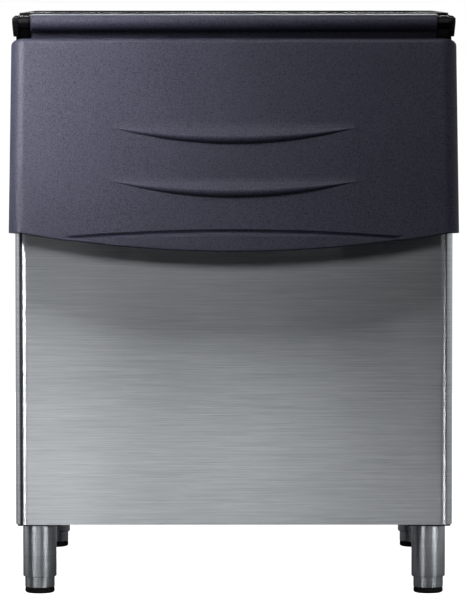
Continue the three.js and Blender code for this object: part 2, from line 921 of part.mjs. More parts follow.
function bushBore(side) {
  const inner = rollHalfLength - pinReach - fitGap;
  const radius = pinRadius + fitGap + bushWall + fitGap;
  const profile = rodProfile(radius, inner, rollHalfLength + cutOverrun);
  return mirrored(profile, side, roundSteps);
}

// A turned piece on the roll's axis, measured out from the middle towards one side
function mirrored(profile, side, steps) {
  const points = profile.map(([radius, along]) => [radius, side * along]);
  const ordered = side > 0 ? points : points.reverse();
  return turnedAcross(ordered, steps, { x: 0, y: rollAxis.y, z: rollAxis.z });
}

// Flanged bush pressed into the end of the roll
function hingeBush(side) {
  const bore = pinRadius + fitGap;
  const outer = bore + bushWall;
  const inner = rollHalfLength - pinReach;
  const flangeStart = rollHalfLength + fitGap;
  const flangeEnd = flangeStart + bushFlange;
  const profile = [
    [bore, inner],
    [outer, inner],
    [outer, flangeStart],
    [bushFlangeRadius, flangeStart],
    [bushFlangeRadius, flangeEnd],
    [bore, flangeEnd],
    [bore, inner],
  ];
  return mirrored(profile, side, roundSteps);
}

// Shouldered pin: a spigot in the bush, a thick shoulder that shows, and a spigot in the bracket
function hingePin(side) {
  const shoulderStart = rollHalfLength + bushFlange + 2 * fitGap;
  const shoulderEnd = bracketInner - fitGap;
  const tip = rollHalfLength - pinReach + pinRadius / 2;
  const end = halfWidth + bracketPlate / 2;
  const chamfer = pinRadius / 4;
  const profile = [
    [0, tip],
    [pinRadius - chamfer, tip],
    [pinRadius, tip + chamfer],
    [pinRadius, shoulderStart],
    [pinShoulderRadius - chamfer, shoulderStart],
    [pinShoulderRadius, shoulderStart + chamfer],
    [pinShoulderRadius, shoulderEnd],
    [pinRadius, shoulderEnd],
    [pinRadius, end],
    [0, end],
  ];
  return mirrored(profile, side, roundSteps);
}

// Side outline of the hinge bracket: a nose round the pin and a tail along the cabinet's side
function bracketOutline() {
  const { y, z } = rollAxis;
  return filletedOutline([
    [y - bracketCrown, z + bracketCrown, bracketNoseFillet],
    [y - bracketCrown, z - bracketSkirt, bracketFillet],
    [y + bracketTail, z - bracketSkirt, bracketFillet],
    [y + bracketTail, z + bracketTailRise, bracketFillet],
    [y + bracketTail / 2, z + bracketCrown, bracketFillet],
  ]);
}

// Front outline of the bracket: chamfered at the top outer edge and tapered to the foot
function bracketFrontOutline(side) {
  const outer = halfWidth + fitGap + bracketPlate;
  const { z } = rollAxis;
  const low = z - bracketSkirt - cutOverrun;
  const points = [
    [bracketInner, low],
    [outer - bracketFootTaper, low],
    [outer, z],
    [outer, z + bracketCrown - bracketTopChamfer],
    [outer - bracketTopChamfer, z + bracketCrown],
    [bracketInner, z + bracketCrown],
  ];
  const placed = points.map(([x, height]) => new THREE.Vector2(side * x, height));
  return new THREE.Shape(placed);
}

function hingeBracket(side) {
  const near = rollAxis.y - bracketSkirt;
  const far = rollAxis.y + bracketTail + cutOverrun;
  const outer = halfWidth + fitGap + bracketPlate;
  const low = Math.min(side * bracketInner, side * outer);
  const high = Math.max(side * bracketInner, side * outer);
  const whole = sideways(bracketOutline(), low, high);
  const trimmed = whole.intersect(backwards(bracketFrontOutline(side), near, far));
  const sideFace = side * (halfWidth + fitGap);
  const inside = block(
    [Math.min(0, sideFace), rollAxis.y + bracketBlock, 0],
    [Math.max(0, sideFace), cabinetDepth, 2 * overallHeight],
  );
  const bore = mirrored(
    rodProfile(pinRadius + fitGap, bracketInner - cutOverrun, halfWidth + bracketPlate / 2 + fitGap),
    side,
    roundSteps,
  );
  return cutAll(trimmed, [inside, bore, ...bracketScrewPlaces(side).map(bracketScrewHole)]);
}

function bracketScrewPlaces(side) {
  return [0, 1].map((step) => ({
    side,
    y: rollAxis.y + bracketScrewFirst + step * bracketScrewPitch,
    z: rollAxis.z - bracketCrown / 2,
  }));
}

// Countersunk screw, measured out from the cabinet's middle, and the hole that it sits in
function bracketScrew(place) {
  const face = halfWidth + fitGap + bracketPlate;
  const profile = [
    [0, face - screwLength],
    [screwShankRadius, face - screwLength],
    [screwShankRadius, face - screwHeadDepth],
    [screwHeadRadius, face - fitGap],
    [0, face - fitGap],
  ];
  return turnedOutAt(profile, place);
}

function bracketScrewHole(place) {
  const face = halfWidth + fitGap + bracketPlate;
  const shank = screwShankRadius + fitGap;
  const head = screwHeadRadius + fitGap;
  const profile = [
    [0, face - screwLength - fitGap],
    [shank, face - screwLength - fitGap],
    [shank, face - screwHeadDepth],
    [head, face],
    [head, face + cutOverrun],
    [0, face + cutOverrun],
  ];
  return turnedOutAt(profile, place);
}

function turnedOutAt(profile, { side, y, z }) {
  const points = profile.map(([radius, along]) => [radius, side * along]);
  const ordered = side > 0 ? points : points.reverse();
  return turnedAcross(ordered, smallSteps, { x: 0, y, z });
}

function bracketScrewHoles() {
  return [-1, 1].flatMap((side) => bracketScrewPlaces(side).map(bracketScrewHole));
}

// A field that rises backwards out of a plate with tapered sides
function raisedField(outline, face, rise, taper, depth) {
  const options = {
    depth,
    bevelEnabled: true,
    bevelThickness: rise,
    bevelSize: taper,
    bevelOffset: -taper,
    bevelSegments: 1,
    curveSegments: filletSteps,
  };
  const geometry = new THREE.ExtrudeGeometry(outline, options);
  geometry.translate(0, 0, face);
  const beyond = cabinetWidth;
  const ahead = block([-beyond, -beyond, face + depth], [beyond, beyond, beyond]);
  return solid(geometry).subtract(ahead);
}

// The door's inner skin: a flat moulded panel with a raised field, folded in round the finger recess
function doorLiner() {
  const plate = doorCavity(fitGap, doorSeat, doorSeat + doorLinerThickness, 0);
  const pocketBlock = doorCavity(fitGap - doorWall, doorSeat, doorFace, 0);
  const fold = pocketBlock.intersect(fingerRecess(doorLinerThickness));
  const half = doorHalfWidth - doorPanelBorder;
  const low = doorBottomCorner + doorPanelBorder - doorPanelTaper;
  const high = doorRise - doorPanelBorder / 2;
  const outline = cornered([-half, low], [half, high], collarCornerRadius);
  const field = raisedField(outline, doorSeat, doorPanelRise, doorPanelTaper, doorLinerThickness);
  const skin = ontoSlope(union([plate, field]).subtract(fingerRecess(0)));
  const panel = skin.subtract(belowDoor(doorWall + fitGap));
  const pocket = ontoSlope(fold.subtract(fingerRecess(0))).subtract(belowDoor(0));
  return union([panel, pocket]);
}

function doorFoam() {
  const back = doorSeat + doorLinerThickness + fitGap;
  const front = doorFace - doorFaceWall - fitGap;
  const whole = doorCavity(fitGap, back, front, doorSideRadius - doorWall);
  const body = whole.subtract(fingerRecess(doorLinerThickness + fitGap));
  return ontoSlope(body).subtract(belowDoor(doorWall + fitGap));
}

// Bent sheet that keeps ice off the closed door; it hangs from the header by two thumb screws
function iceDeflector() {
  const back = throatFront + fitGap;
  const top = seatTop - rimSkirt - fitGap;
  const bend = headerLip.z + headerDrop - deflectorSheet;
  const slant = THREE.MathUtils.degToRad(deflectorLeanDegrees);
  const footY = back - deflectorApron * Math.sin(slant);
  const footZ = bend - deflectorApron * Math.cos(slant);
  const middle = [
    [back, top],
    [back, bend],
    [footY, footZ],
    [footY + deflectorHem, footZ - deflectorHem / 2],
  ];
  const thick = middle.map(([y, z]) => [y + deflectorSheet, z, 0]).reverse();
  const outline = filletedOutline([...middle.map(([y, z]) => [y, z, 0]), ...thick]);
  const sheet = sideways(outline, -deflectorHalfWidth, deflectorHalfWidth);
  return cutAll(sheet, thumbScrewHoles(fitGap));
}

function thumbScrewPlace(side) {
  return {
    x: side * (deflectorHalfWidth - thumbScrewInset),
    y: throatFront + 2 * fitGap + deflectorSheet,
    z: seatTop - rimSkirt - fitGap - deflectorFlange / 2,
  };
}

// Moulded thumb screw: a shank, a collar and a fluted head
function thumbScrew(side) {
  const { x, y, z } = thumbScrewPlace(side);
  const profile = [
    [0, -thumbShankLength],
    [thumbShankRadius, -thumbShankLength],
    [thumbShankRadius, 0],
    [thumbCollarRadius, 0],
    [thumbCollarRadius, thumbHeadLength / 2],
    [0, thumbHeadLength / 2],
  ];
  const head = new THREE.Shape();
  const points = 2 * thumbGripNotches;
  for (let step = 0; step < points; step += 1) {
    const angle = (2 * Math.PI * step) / points;
    const radius = step % 2 === 0 ? thumbHeadRadius : thumbHeadRadius - thumbShankRadius / 2;
    const place = [x + radius * Math.cos(angle), z + radius * Math.sin(angle)];
    if (step === 0) {
      head.moveTo(...place);
    } else {
      head.lineTo(...place);
    }
  }
  head.closePath();
  const grip = backwards(head, y + thumbHeadLength / 4, y + thumbHeadLength);
  return union([turnedBack(profile, smallSteps, { x, y, z }), grip]);
}

function thumbScrewHoles(growth) {
  return [-1, 1].map((side) => {
    const profile = rodProfile(thumbShankRadius + growth, -thumbShankLength - growth, thumbHeadLength);
    return turnedBack(profile, smallSteps, thumbScrewPlace(side));
  });
}

// Height of the liner's floor at a distance in from the cabinet's back
function linerFloorAt(inset) {
  const run = linerBack - wallThickness;
  const share = (inset - wallThickness) / run;
  return linerFloorBack + floorFall * share;
}

function drainPlace() {
  return { x: 0, y: cabinetDepth - drainInset, z: 0 };
}

function drainFlangeBottom() {
  return linerFloorAt(drainInset) - drainFlangeThickness - fitGap;
}

function drainHole() {
  const profile = rodProfile(drainTubeRadius + fitGap, 0, linerFloorAt(drainInset));
  return turnedUp(profile, roundSteps, drainPlace());
}

// Flanged drain tube let into the liner's floor and carried out through the base
function drainFitting() {
  const flangeBottom = drainFlangeBottom();
  const flangeTop = flangeBottom + drainFlangeThickness;
  const end = legHeight - drainTail;
  const profile = [
    [drainBoreRadius, end],
    [drainTubeRadius, end],
    [drainTubeRadius, flangeBottom],
    [drainFlangeRadius, flangeBottom],
    [drainFlangeRadius, flangeTop],
    [drainBoreRadius, flangeTop],
    [drainBoreRadius, end],
  ];
  return turnedUp(profile, roundSteps, drainPlace());
}

function drainNut() {
  const top = legHeight - fitGap;
  const bottom = top - drainNutThickness;
  const body = turnedUp(rodProfile(drainNutRadius, bottom, top), hexSides, drainPlace());
  return body.subtract(drainHole());
}

// Perforated disc over the drain
function drainStrainer() {
  const bottom = drainFlangeBottom() + drainFlangeThickness + fitGap;
  const disc = turnedUp(
    rodProfile(strainerRadius, bottom, bottom + strainerThickness),
    roundSteps,
    drainPlace(),
  );
  const place = drainPlace();
  const holes = [];
  for (let step = 0; step < strainerHoles; step += 1) {
    const angle = (2 * Math.PI * step) / strainerHoles;
    holes.push({
      x: place.x + strainerRingRadius * Math.cos(angle),
      y: place.y + strainerRingRadius * Math.sin(angle),
      z: 0,
    });
    holes.push({
      x: place.x + (strainerRingRadius / 2) * Math.cos(angle),
      y: place.y + (strainerRingRadius / 2) * Math.sin(angle),
      z: 0,
    });
  }
  const profile = rodProfile(
    strainerHoleRadius,
    bottom - cutOverrun,
    bottom + strainerThickness + cutOverrun,
  );
  return cutAll(disc, holes.map((hole) => turnedUp(profile, holeSteps, hole)));
}

// Where the four legs stand
function legPlaces() {
  const x = halfWidth - legInset;
  const rear = cabinetDepth - legSetback;
  return [
    { name: "front_left", x: -x, y: legSetback },
    { name: "front_right", x, y: legSetback },
    { name: "rear_left", x: -x, y: rear },
    { name: "rear_right", x, y: rear },
  ];
}

function atFloor(place) {
  return { x: place.x, y: place.y, z: 0 };
}

function legSocketHole(place) {
  const profile = rodProfile(
    legSocketRadius + fitGap,
    legHeight - cutOverrun,
    legHeight + legSocketRise + fitGap,
  );
  return turnedUp(profile, smallSteps, atFloor(place));
}

// Square plate under the base with a threaded socket standing up through it
function legPlate(place) {
  const half = legPlateSide / 2;
  const near = Math.min(half, legSetback - fitGap);
  const low = [place.x - half, place.y - near];
  const high = [place.x + half, place.y + near];
  const top = legHeight - fitGap;
  const bottom = top - legPlateThickness;
  const plate = raised(cornered(low, high, legPlateRadius), bottom, top);
  const socket = turnedUp(
    rodProfile(legSocketRadius, bottom, legHeight + legSocketRise),
    smallSteps,
    atFloor(place),
  );
  const bore = turnedUp(
    rodProfile(legStudRadius + fitGap, bottom - cutOverrun, bottom + legStudLength + fitGap),
    smallSteps,
    atFloor(place),
  );
  return plate.add(socket).subtract(bore);
}

function sleeveTop() {
  return legHeight - 2 * fitGap - legPlateThickness;
}

// Outer leg tube with a threaded stud on top and a rolled lower lip
function legSleeve(place) {
  const top = sleeveTop();
  const cap = top - sleeveWall;
  const bottom = top - sleeveLength;
  const bore = sleeveRadius - sleeveWall;
  const profile = [
    [0, cap],
    [bore, cap],
    [bore, bottom],
    [sleeveRadius - sleeveLip, bottom],
    [sleeveRadius, bottom + sleeveLip],
    [sleeveRadius, top - sleeveLip / 2],
    [sleeveRadius - sleeveLip / 2, top],
    [legStudRadius, top],
    [legStudRadius, top + legStudLength - sleeveLip],
    [0, top + legStudLength - sleeveLip],
  ];
  return turnedUp(profile, roundSteps, atFloor(place));
}

// Inner leg that slides in the sleeve, hollow and open at the top
function footTube(place) {
  const bottom = footPadHeight + fitGap;
  const top = sleeveTop() - sleeveWall - innerLegHeadroom;
  const bore = innerLegRadius - innerLegWall;
  const web = bottom + footPadSpigot + innerLegWall;
  const socket = footPadSpigotRadius + fitGap;
  const profile = [
    [0, bottom + footPadSpigot + fitGap],
    [socket, bottom + footPadSpigot + fitGap],
    [socket, bottom],
    [innerLegRadius - sleeveLip / 2, bottom],
    [innerLegRadius, bottom + sleeveLip / 2],
    [innerLegRadius, top],
    [bore, top],
    [bore, web],
    [0, web],
  ];
  return turnedUp(profile, roundSteps, atFloor(place));
}

// Barrel-sided foot pad with a spigot up into the inner leg
function footPad(place) {
  const rim = innerLegRadius - sleeveLip;
  const profile = [
    [0, 0],
    [rim - footPadBulge, 0],
    [rim + footPadBulge, footPadHeight / 4],
    [rim + sleeveLip, footPadHeight / 2],
    [rim + footPadBulge, footPadHeight],
    [footPadSpigotRadius, footPadHeight],
    [footPadSpigotRadius, footPadHeight + footPadSpigot],
    [0, footPadHeight + footPadSpigot],
  ];
  return turnedUp(profile, roundSteps, atFloor(place));
}

// Materials
function finish(color, roughness, metalness) {
  return new THREE.MeshStandardMaterial({ color, roughness, metalness });
}

const brushedSteel = finish(0xa4aaad, 0.34, 0.95);
const galvanisedSteel = finish(0x9a9fa1, 0.5, 0.85);
const satinTube = finish(0xb9bdbf, 0.28, 0.95);
const darkSteel = finish(0x2a2b2e, 0.45, 0.8);
const doorPlastic = finish(0x484856, 0.55, 0);
const blackPlastic = finish(0x121214, 0.4, 0);
const blackRubber = finish(0x0f0f10, 0.8, 0);
const whiteLiner = finish(0xdfe3e4, 0.4, 0);
const paleFoam = finish(0xe6d9a8, 0.9, 0);

const model = new THREE.Group();
const ground = new THREE.Group();
const depthMiddle = (doorFrontY + cabinetDepth) / 2;
ground.position.set(0, -depthMiddle, 0);
model.add(ground);

function place(name, body, material) {
  const mesh = new THREE.Mesh(surfaceOf(body), material);
  mesh.name = name;
  ground.add(mesh);
}

function sideName(side) {
  return side < 0 ? "left" : "right";
}

place("outer_wrap", outerWrap(), brushedSteel);
place("back_panel", backPanel(), galvanisedSteel);
place("base_pan", basePan(), galvanisedSteel);
place("liner", liner(), whiteLiner);
place("foam_insulation", foamInsulation(), paleFoam);
place("top_rim", topRim(), blackPlastic);
place("door_collar", doorCollar(), blackPlastic);
place("door_shell", doorShell(), doorPlastic);
place("door_liner", doorLiner(), whiteLiner);
place("door_foam", doorFoam(), paleFoam);
place("ice_deflector", iceDeflector(), brushedSteel);
place("drain_seat", drainSeat(), whiteLiner);
place("drain_fitting", drainFitting(), blackPlastic);
place("drain_nut", drainNut(), blackPlastic);
place("drain_strainer", drainStrainer(), brushedSteel);

for (const side of [-1, 1]) {
  const name = sideName(side);
  place(`hinge_bracket_${name}`, hingeBracket(side), blackPlastic);
  place(`hinge_pin_${name}`, hingePin(side), darkSteel);
  place(`hinge_bush_${name}`, hingeBush(side), blackPlastic);
  place(`door_bumper_${name}`, doorBumper(side), blackRubber);
  place(`deflector_screw_${name}`, thumbScrew(side), blackPlastic);
  bracketScrewPlaces(side).forEach((screw, step) => {
    place(`bracket_screw_${name}_${step + 1}`, bracketScrew(screw), darkSteel);
  });
}

for (const leg of legPlaces()) {
  place(`leg_plate_${leg.name}`, legPlate(leg), darkSteel);
  place(`leg_sleeve_${leg.name}`, legSleeve(leg), satinTube);
  place(`foot_tube_${leg.name}`, footTube(leg), satinTube);
  place(`foot_pad_${leg.name}`, footPad(leg), blackRubber);
}

export default model;
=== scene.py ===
import json
import logging
import math
from dataclasses import dataclass
from enum import Enum

import bmesh
import bpy
import numpy as np
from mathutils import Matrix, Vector

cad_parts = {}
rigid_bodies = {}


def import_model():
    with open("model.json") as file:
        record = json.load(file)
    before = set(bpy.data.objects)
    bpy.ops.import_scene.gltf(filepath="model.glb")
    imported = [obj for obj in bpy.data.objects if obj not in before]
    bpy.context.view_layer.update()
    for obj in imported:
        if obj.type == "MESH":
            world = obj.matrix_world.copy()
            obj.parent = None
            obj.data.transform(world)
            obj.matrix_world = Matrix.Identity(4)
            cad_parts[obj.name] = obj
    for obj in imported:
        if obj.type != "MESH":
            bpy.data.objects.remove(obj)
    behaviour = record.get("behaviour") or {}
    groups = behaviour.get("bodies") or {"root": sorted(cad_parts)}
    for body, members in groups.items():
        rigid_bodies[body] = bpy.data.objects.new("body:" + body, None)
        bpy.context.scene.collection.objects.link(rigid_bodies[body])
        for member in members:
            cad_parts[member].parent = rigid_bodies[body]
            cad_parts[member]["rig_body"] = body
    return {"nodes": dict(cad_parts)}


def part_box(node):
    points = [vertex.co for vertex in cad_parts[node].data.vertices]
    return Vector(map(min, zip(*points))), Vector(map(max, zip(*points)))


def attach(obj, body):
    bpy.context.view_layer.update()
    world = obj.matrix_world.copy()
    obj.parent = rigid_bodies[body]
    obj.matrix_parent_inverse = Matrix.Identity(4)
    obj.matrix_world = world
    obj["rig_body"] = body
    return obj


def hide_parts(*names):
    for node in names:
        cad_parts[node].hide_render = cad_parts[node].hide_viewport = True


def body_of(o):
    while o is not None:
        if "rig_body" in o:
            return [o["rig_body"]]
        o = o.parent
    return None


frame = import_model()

log = logging.getLogger("ice_bin")

Triple = tuple[float, float, float]
Pair = tuple[np.ndarray, np.ndarray]

MILLIMETRE = 0.001
WELD_DISTANCE = 1e-6
CRISP_DEGREES = 35.0
QUARTER_TURN = math.pi / 2
BLACK, WHITE = (0.0, 0.0, 0.0), (1.0, 1.0, 1.0)
SIDES = {"left": -1, "right": 1}
LEG_NAMES = ("front_left", "front_right", "rear_left", "rear_right")

# Sizes that several pieces share, in millimetres
CABINET_DEPTH = 813.0
CABINET_HALF = 381.0
SEAT_TOP = 1011.0
LEAN = math.radians(15.0)
DOOR_RISE = 333.0
RISE_ABOVE_DOOR = 54.2


# Shader arithmetic


class Signal:
    """One output socket of a node, so that shader sums read as plain arithmetic."""

    def __init__(self, graph: "Graph", socket: bpy.types.NodeSocket) -> None:
        """Keeps the socket and the graph that it belongs to."""
        self.graph = graph
        self.socket = socket

    def _with(self, operation: str, other: "Signal | float", turned: bool = False) -> "Signal":
        """Adds one Math node.

        Args:
            operation: The Math node's operation.
            other: The second value.
            turned: True where the other value comes first.

        Returns:
            The result of the operation.
        """
        first, second = (other, self) if turned else (self, other)
        return self.graph.signal("ShaderNodeMath", 0, {0: first, 1: second}, {"operation": operation})

    def __add__(self, other: "Signal | float") -> "Signal":
        """Sum."""
        return self._with("ADD", other)

    __radd__ = __add__

    def __mul__(self, other: "Signal | float") -> "Signal":
        """Product."""
        return self._with("MULTIPLY", other)

    __rmul__ = __mul__

    def __sub__(self, other: "Signal | float") -> "Signal":
        """Difference."""
        return self._with("SUBTRACT", other)

    def __rsub__(self, other: float) -> "Signal":
        """Difference from a number."""
        return self._with("SUBTRACT", other, turned=True)

    def mixed(self, other: "Signal", share: float) -> "Signal":
        """Weighted sum in which the other signal has the given share."""
        return self * (1.0 - share) + other * share


class Graph:
    """A node tree, with one method that makes any node."""

    def __init__(self, tree: bpy.types.NodeTree) -> None:
        """Keeps the tree."""
        self.tree = tree

    def feed(self, socket: bpy.types.NodeSocket, value: "Signal | float | tuple") -> None:
        """Links a signal to a socket, or sets the socket's own value.

        Args:
            socket: The input socket.
            value: A signal, a number, or a tuple for a colour or a vector.
        """
        if isinstance(value, Signal):
            self.tree.links.new(value.socket, socket)
        else:
            socket.default_value = value

    def node(self, kind: str, inputs: dict | None = None, settings: dict | None = None) -> bpy.types.Node:
        """Makes one node.

        Args:
            kind: The node's type name.
            inputs: Values or signals for its sockets, by name or number.
            settings: The node's own properties, which are set first.

        Returns:
            The node.
        """
        made = self.tree.nodes.new(kind)
        for key, value in (settings or {}).items():
            setattr(made, key, value)
        for key, value in (inputs or {}).items():
            self.feed(made.inputs[key], value)
        return made

    def signal(
        self, kind: str, output: str | int, inputs: dict | None = None, settings: dict | None = None
    ) -> Signal:
        """One output of a new node, whose other arguments are those of node()."""
        return Signal(self, self.node(kind, inputs, settings).outputs[output])


class Surface(Graph):
    """The node tree of one material, with the patterns that the finishes need."""

    def __init__(self, name: str) -> None:
        """Starts a material with its shader and its object coordinates.

        Args:
            name: The material's name.
        """
        self.material = bpy.data.materials.new(name)
        self.material.use_nodes = True
        super().__init__(self.material.node_tree)
        self.shader = self.tree.nodes["Principled BSDF"]
        self.place = self.signal("ShaderNodeTexCoord", "Object")

    def noise(self, scale: float | Triple, detail: float = 3.0, rough: float = 0.55) -> Signal:
        """Smooth noise between 0 and 1.

        Args:
            scale: Waves in a metre, as one number or as one along each axis.
            detail: How many finer layers are added.
            rough: Strength of each finer layer against the one before.

        Returns:
            The noise.
        """
        where, even = self.place, scale
        if isinstance(scale, tuple):
            where, even = self.signal("ShaderNodeMapping", 0, {"Vector": self.place, "Scale": scale}), 1.0
        inputs = {"Vector": where, "Scale": even, "Detail": detail, "Roughness": rough}
        return self.signal("ShaderNodeTexNoise", "Fac", inputs)

    def cells(self, scale: float) -> Signal:
        """Distance to the nearest of many scattered points."""
        return self.signal("ShaderNodeTexVoronoi", "Distance", {"Vector": self.place, "Scale": scale})

    def patches(self, scale: float) -> Signal:
        """An even value of its own for the patch round each of many scattered points."""
        colour = self.signal("ShaderNodeTexVoronoi", "Color", {"Vector": self.place, "Scale": scale})
        return self.signal("ShaderNodeSeparateColor", 0, {0: colour})

    def ranged(
        self, value: Signal, low: float, high: float, to_low: float = 0.0, to_high: float = 1.0
    ) -> Signal:
        """Carries a range of values to another range and holds it there."""
        inputs = {"Value": value, "From Min": low, "From Max": high, "To Min": to_low, "To Max": to_high}
        return self.signal("ShaderNodeMapRange", "Result", inputs, {"clamp": True})

    def blended(self, share: Signal, first: Triple, second: Triple) -> Signal:
        """Colour between two colours, by a share from 0 to 1."""
        inputs = {0: share, 6: (*first, 1.0), 7: (*second, 1.0)}
        return self.signal("ShaderNodeMix", 2, inputs, {"data_type": "RGBA"})

    def bumped(self, height: Signal, strength: float, distance: float) -> Signal:
        """Normal from a height, whose full range is the distance in metres."""
        inputs = {"Height": height, "Strength": strength, "Distance": distance}
        return self.signal("ShaderNodeBump", 0, inputs)

    def finish(self, **sockets: Signal | float | tuple) -> bpy.types.Material:
        """Sets the shader's sockets.

        Args:
            **sockets: Values by socket name, with underscores for the spaces.

        Returns:
            The material.
        """
        for key, value in sockets.items():
            self.feed(self.shader.inputs[key.replace("_", " ")], value)
        return self.material


# Finishes. A bump is its strength and its height in metres, and a share is the second pattern's weight.
# Highlights are turned a quarter of a full turn, and noise lies within its range almost everywhere.

ACROSS_THE_GRAIN = 0.25
NOISE_RANGE = (0.3, 0.7)


@dataclass(frozen=True)
class BrushedSteel:
    """Stainless sheet brushed along its length: long fine scratches over a faint cloudiness."""

    pale: Triple = (0.92, 0.955, 0.99)
    dull: Triple = (0.66, 0.70, 0.735)
    roughness: tuple[float, float] = (0.34, 0.43)
    long_scratches: Triple = (9.0, 9.0, 620.0)
    fine_scratches: Triple = (30.0, 30.0, 2600.0)
    fine_share: float = 0.3
    cloud_scale: float = 3.2
    cloud_share: float = 0.2
    contrast: tuple[float, float] = (0.38, 0.62)
    bump: tuple[float, float] = (0.12, 0.0004)
    anisotropy: float = 1.0

    def material(self, name: str) -> bpy.types.Material:
        """Builds the material.

        Args:
            name: The material's name.

        Returns:
            The material.
        """
        graph = Surface(name)
        long_scratch = graph.noise(self.long_scratches, detail=4.0, rough=0.65)
        grain = long_scratch.mixed(graph.noise(self.fine_scratches, detail=2.0), self.fine_share)
        tone = grain.mixed(graph.noise(self.cloud_scale, detail=2.0), self.cloud_share)
        return graph.finish(
            Base_Color=graph.blended(graph.ranged(tone, *self.contrast), self.dull, self.pale),
            Metallic=1.0,
            Roughness=graph.ranged(grain, *NOISE_RANGE, *self.roughness),
            Normal=graph.bumped(grain, *self.bump),
            Anisotropic=self.anisotropy,
            Anisotropic_Rotation=ACROSS_THE_GRAIN,
        )


@dataclass(frozen=True)
class TextureMould:
    """Plastic from a textured mould: a fine pebble grain in both bump and tone."""

    pale: Triple
    deep: Triple
    roughness: float
    grain_scale: float = 500.0
    grain_height: float = 0.0007
    specular: float = 0.5
    speck_ratio: float = 2.2
    speck_share: float = 0.25
    broad_scale: float = 5.0
    broad_share: float = 0.08
    contrast: tuple[float, float] = (0.38, 0.54)
    gloss_change: float = 0.08
    bump_strength: float = 0.6

    def material(self, name: str) -> bpy.types.Material:
        """Builds the material.

        Args:
            name: The material's name.

        Returns:
            The material.
        """
        graph = Surface(name)
        pebble = graph.noise(self.grain_scale, detail=2.0, rough=0.6)
        grain = pebble.mixed(graph.cells(self.grain_scale * self.speck_ratio), self.speck_share)
        tone = grain.mixed(graph.noise(self.broad_scale, detail=2.0), self.broad_share)
        dull, glossy = self.roughness + self.gloss_change, self.roughness - self.gloss_change
        return graph.finish(
            Base_Color=graph.blended(graph.ranged(tone, *self.contrast), self.deep, self.pale),
            Roughness=graph.ranged(grain, *NOISE_RANGE, dull, glossy),
            Normal=graph.bumped(grain, self.bump_strength, self.grain_height),
            Specular_IOR_Level=self.specular,
        )


@dataclass(frozen=True)
class SmoothMould:
    """Polished or satin plastic: faint flow marks and a little dust in the roughness."""

    pale: Triple
    deep: Triple
    roughness: float
    specular: float = 0.5
    flow_marks: Triple = (14.0, 30.0, 14.0)
    flow_share: float = 0.2
    dust_scale: float = 300.0
    contrast: tuple[float, float] = (0.35, 0.65)
    gloss_change: float = 0.03
    bump: tuple[float, float] = (0.02, 0.001)

    def material(self, name: str) -> bpy.types.Material:
        """Builds the material.

        Args:
            name: The material's name.

        Returns:
            The material.
        """
        graph = Surface(name)
        flow = graph.noise(self.flow_marks)
        wear = graph.noise(self.dust_scale, rough=0.7).mixed(flow, self.flow_share)
        glossy, dull = self.roughness - self.gloss_change, self.roughness + self.gloss_change
        return graph.finish(
            Base_Color=graph.blended(graph.ranged(flow, *self.contrast), self.deep, self.pale),
            Roughness=graph.ranged(wear, *self.contrast, glossy, dull),
            Normal=graph.bumped(flow, *self.bump),
            Specular_IOR_Level=self.specular,
        )


@dataclass(frozen=True)
class TurnedMetal:
    """Drawn or turned metal tube: fine rings round its length and a satin sheen."""

    pale: Triple
    deep: Triple
    roughness: float
    rings: Triple = (5.0, 5.0, 900.0)
    haze_scale: float = 30.0
    haze_share: float = 0.5
    contrast: tuple[float, float] = (0.35, 0.65)
    gloss_change: float = 0.02
    bump: tuple[float, float] = (0.08, 0.0003)
    anisotropy: float = 0.6

    def material(self, name: str) -> bpy.types.Material:
        """Builds the material.

        Args:
            name: The material's name.

        Returns:
            The material.
        """
        graph = Surface(name)
        ring, haze = graph.noise(self.rings), graph.noise(self.haze_scale)
        tone = graph.ranged(ring.mixed(haze, self.haze_share), *self.contrast)
        glossy, dull = self.roughness - self.gloss_change, self.roughness + self.gloss_change
        return graph.finish(
            Base_Color=graph.blended(tone, self.deep, self.pale),
            Metallic=1.0,
            Roughness=graph.ranged(haze, *NOISE_RANGE, glossy, dull),
            Normal=graph.bumped(ring, *self.bump),
            Anisotropic=self.anisotropy,
            Anisotropic_Rotation=ACROSS_THE_GRAIN,
        )


@dataclass(frozen=True)
class Spangle:
    """Galvanised sheet: crystal patches of slightly different grey and gloss."""

    pale: Triple = (0.62, 0.64, 0.66)
    deep: Triple = (0.42, 0.44, 0.46)
    metallic: float = 0.9
    roughness: tuple[float, float] = (0.36, 0.52)
    patch_scale: float = 90.0
    haze_scale: float = 12.0
    haze_share: float = 0.4
    bump: tuple[float, float] = (0.05, 0.001)

    def material(self, name: str) -> bpy.types.Material:
        """Builds the material.

        Args:
            name: The material's name.

        Returns:
            The material.
        """
        graph = Surface(name)
        haze = graph.noise(self.haze_scale, detail=4.0)
        tone = graph.patches(self.patch_scale).mixed(haze, self.haze_share)
        return graph.finish(
            Base_Color=graph.blended(tone, self.deep, self.pale),
            Metallic=self.metallic,
            Roughness=graph.ranged(tone, 0.1, 0.9, *self.roughness),
            Normal=graph.bumped(haze, *self.bump),
        )


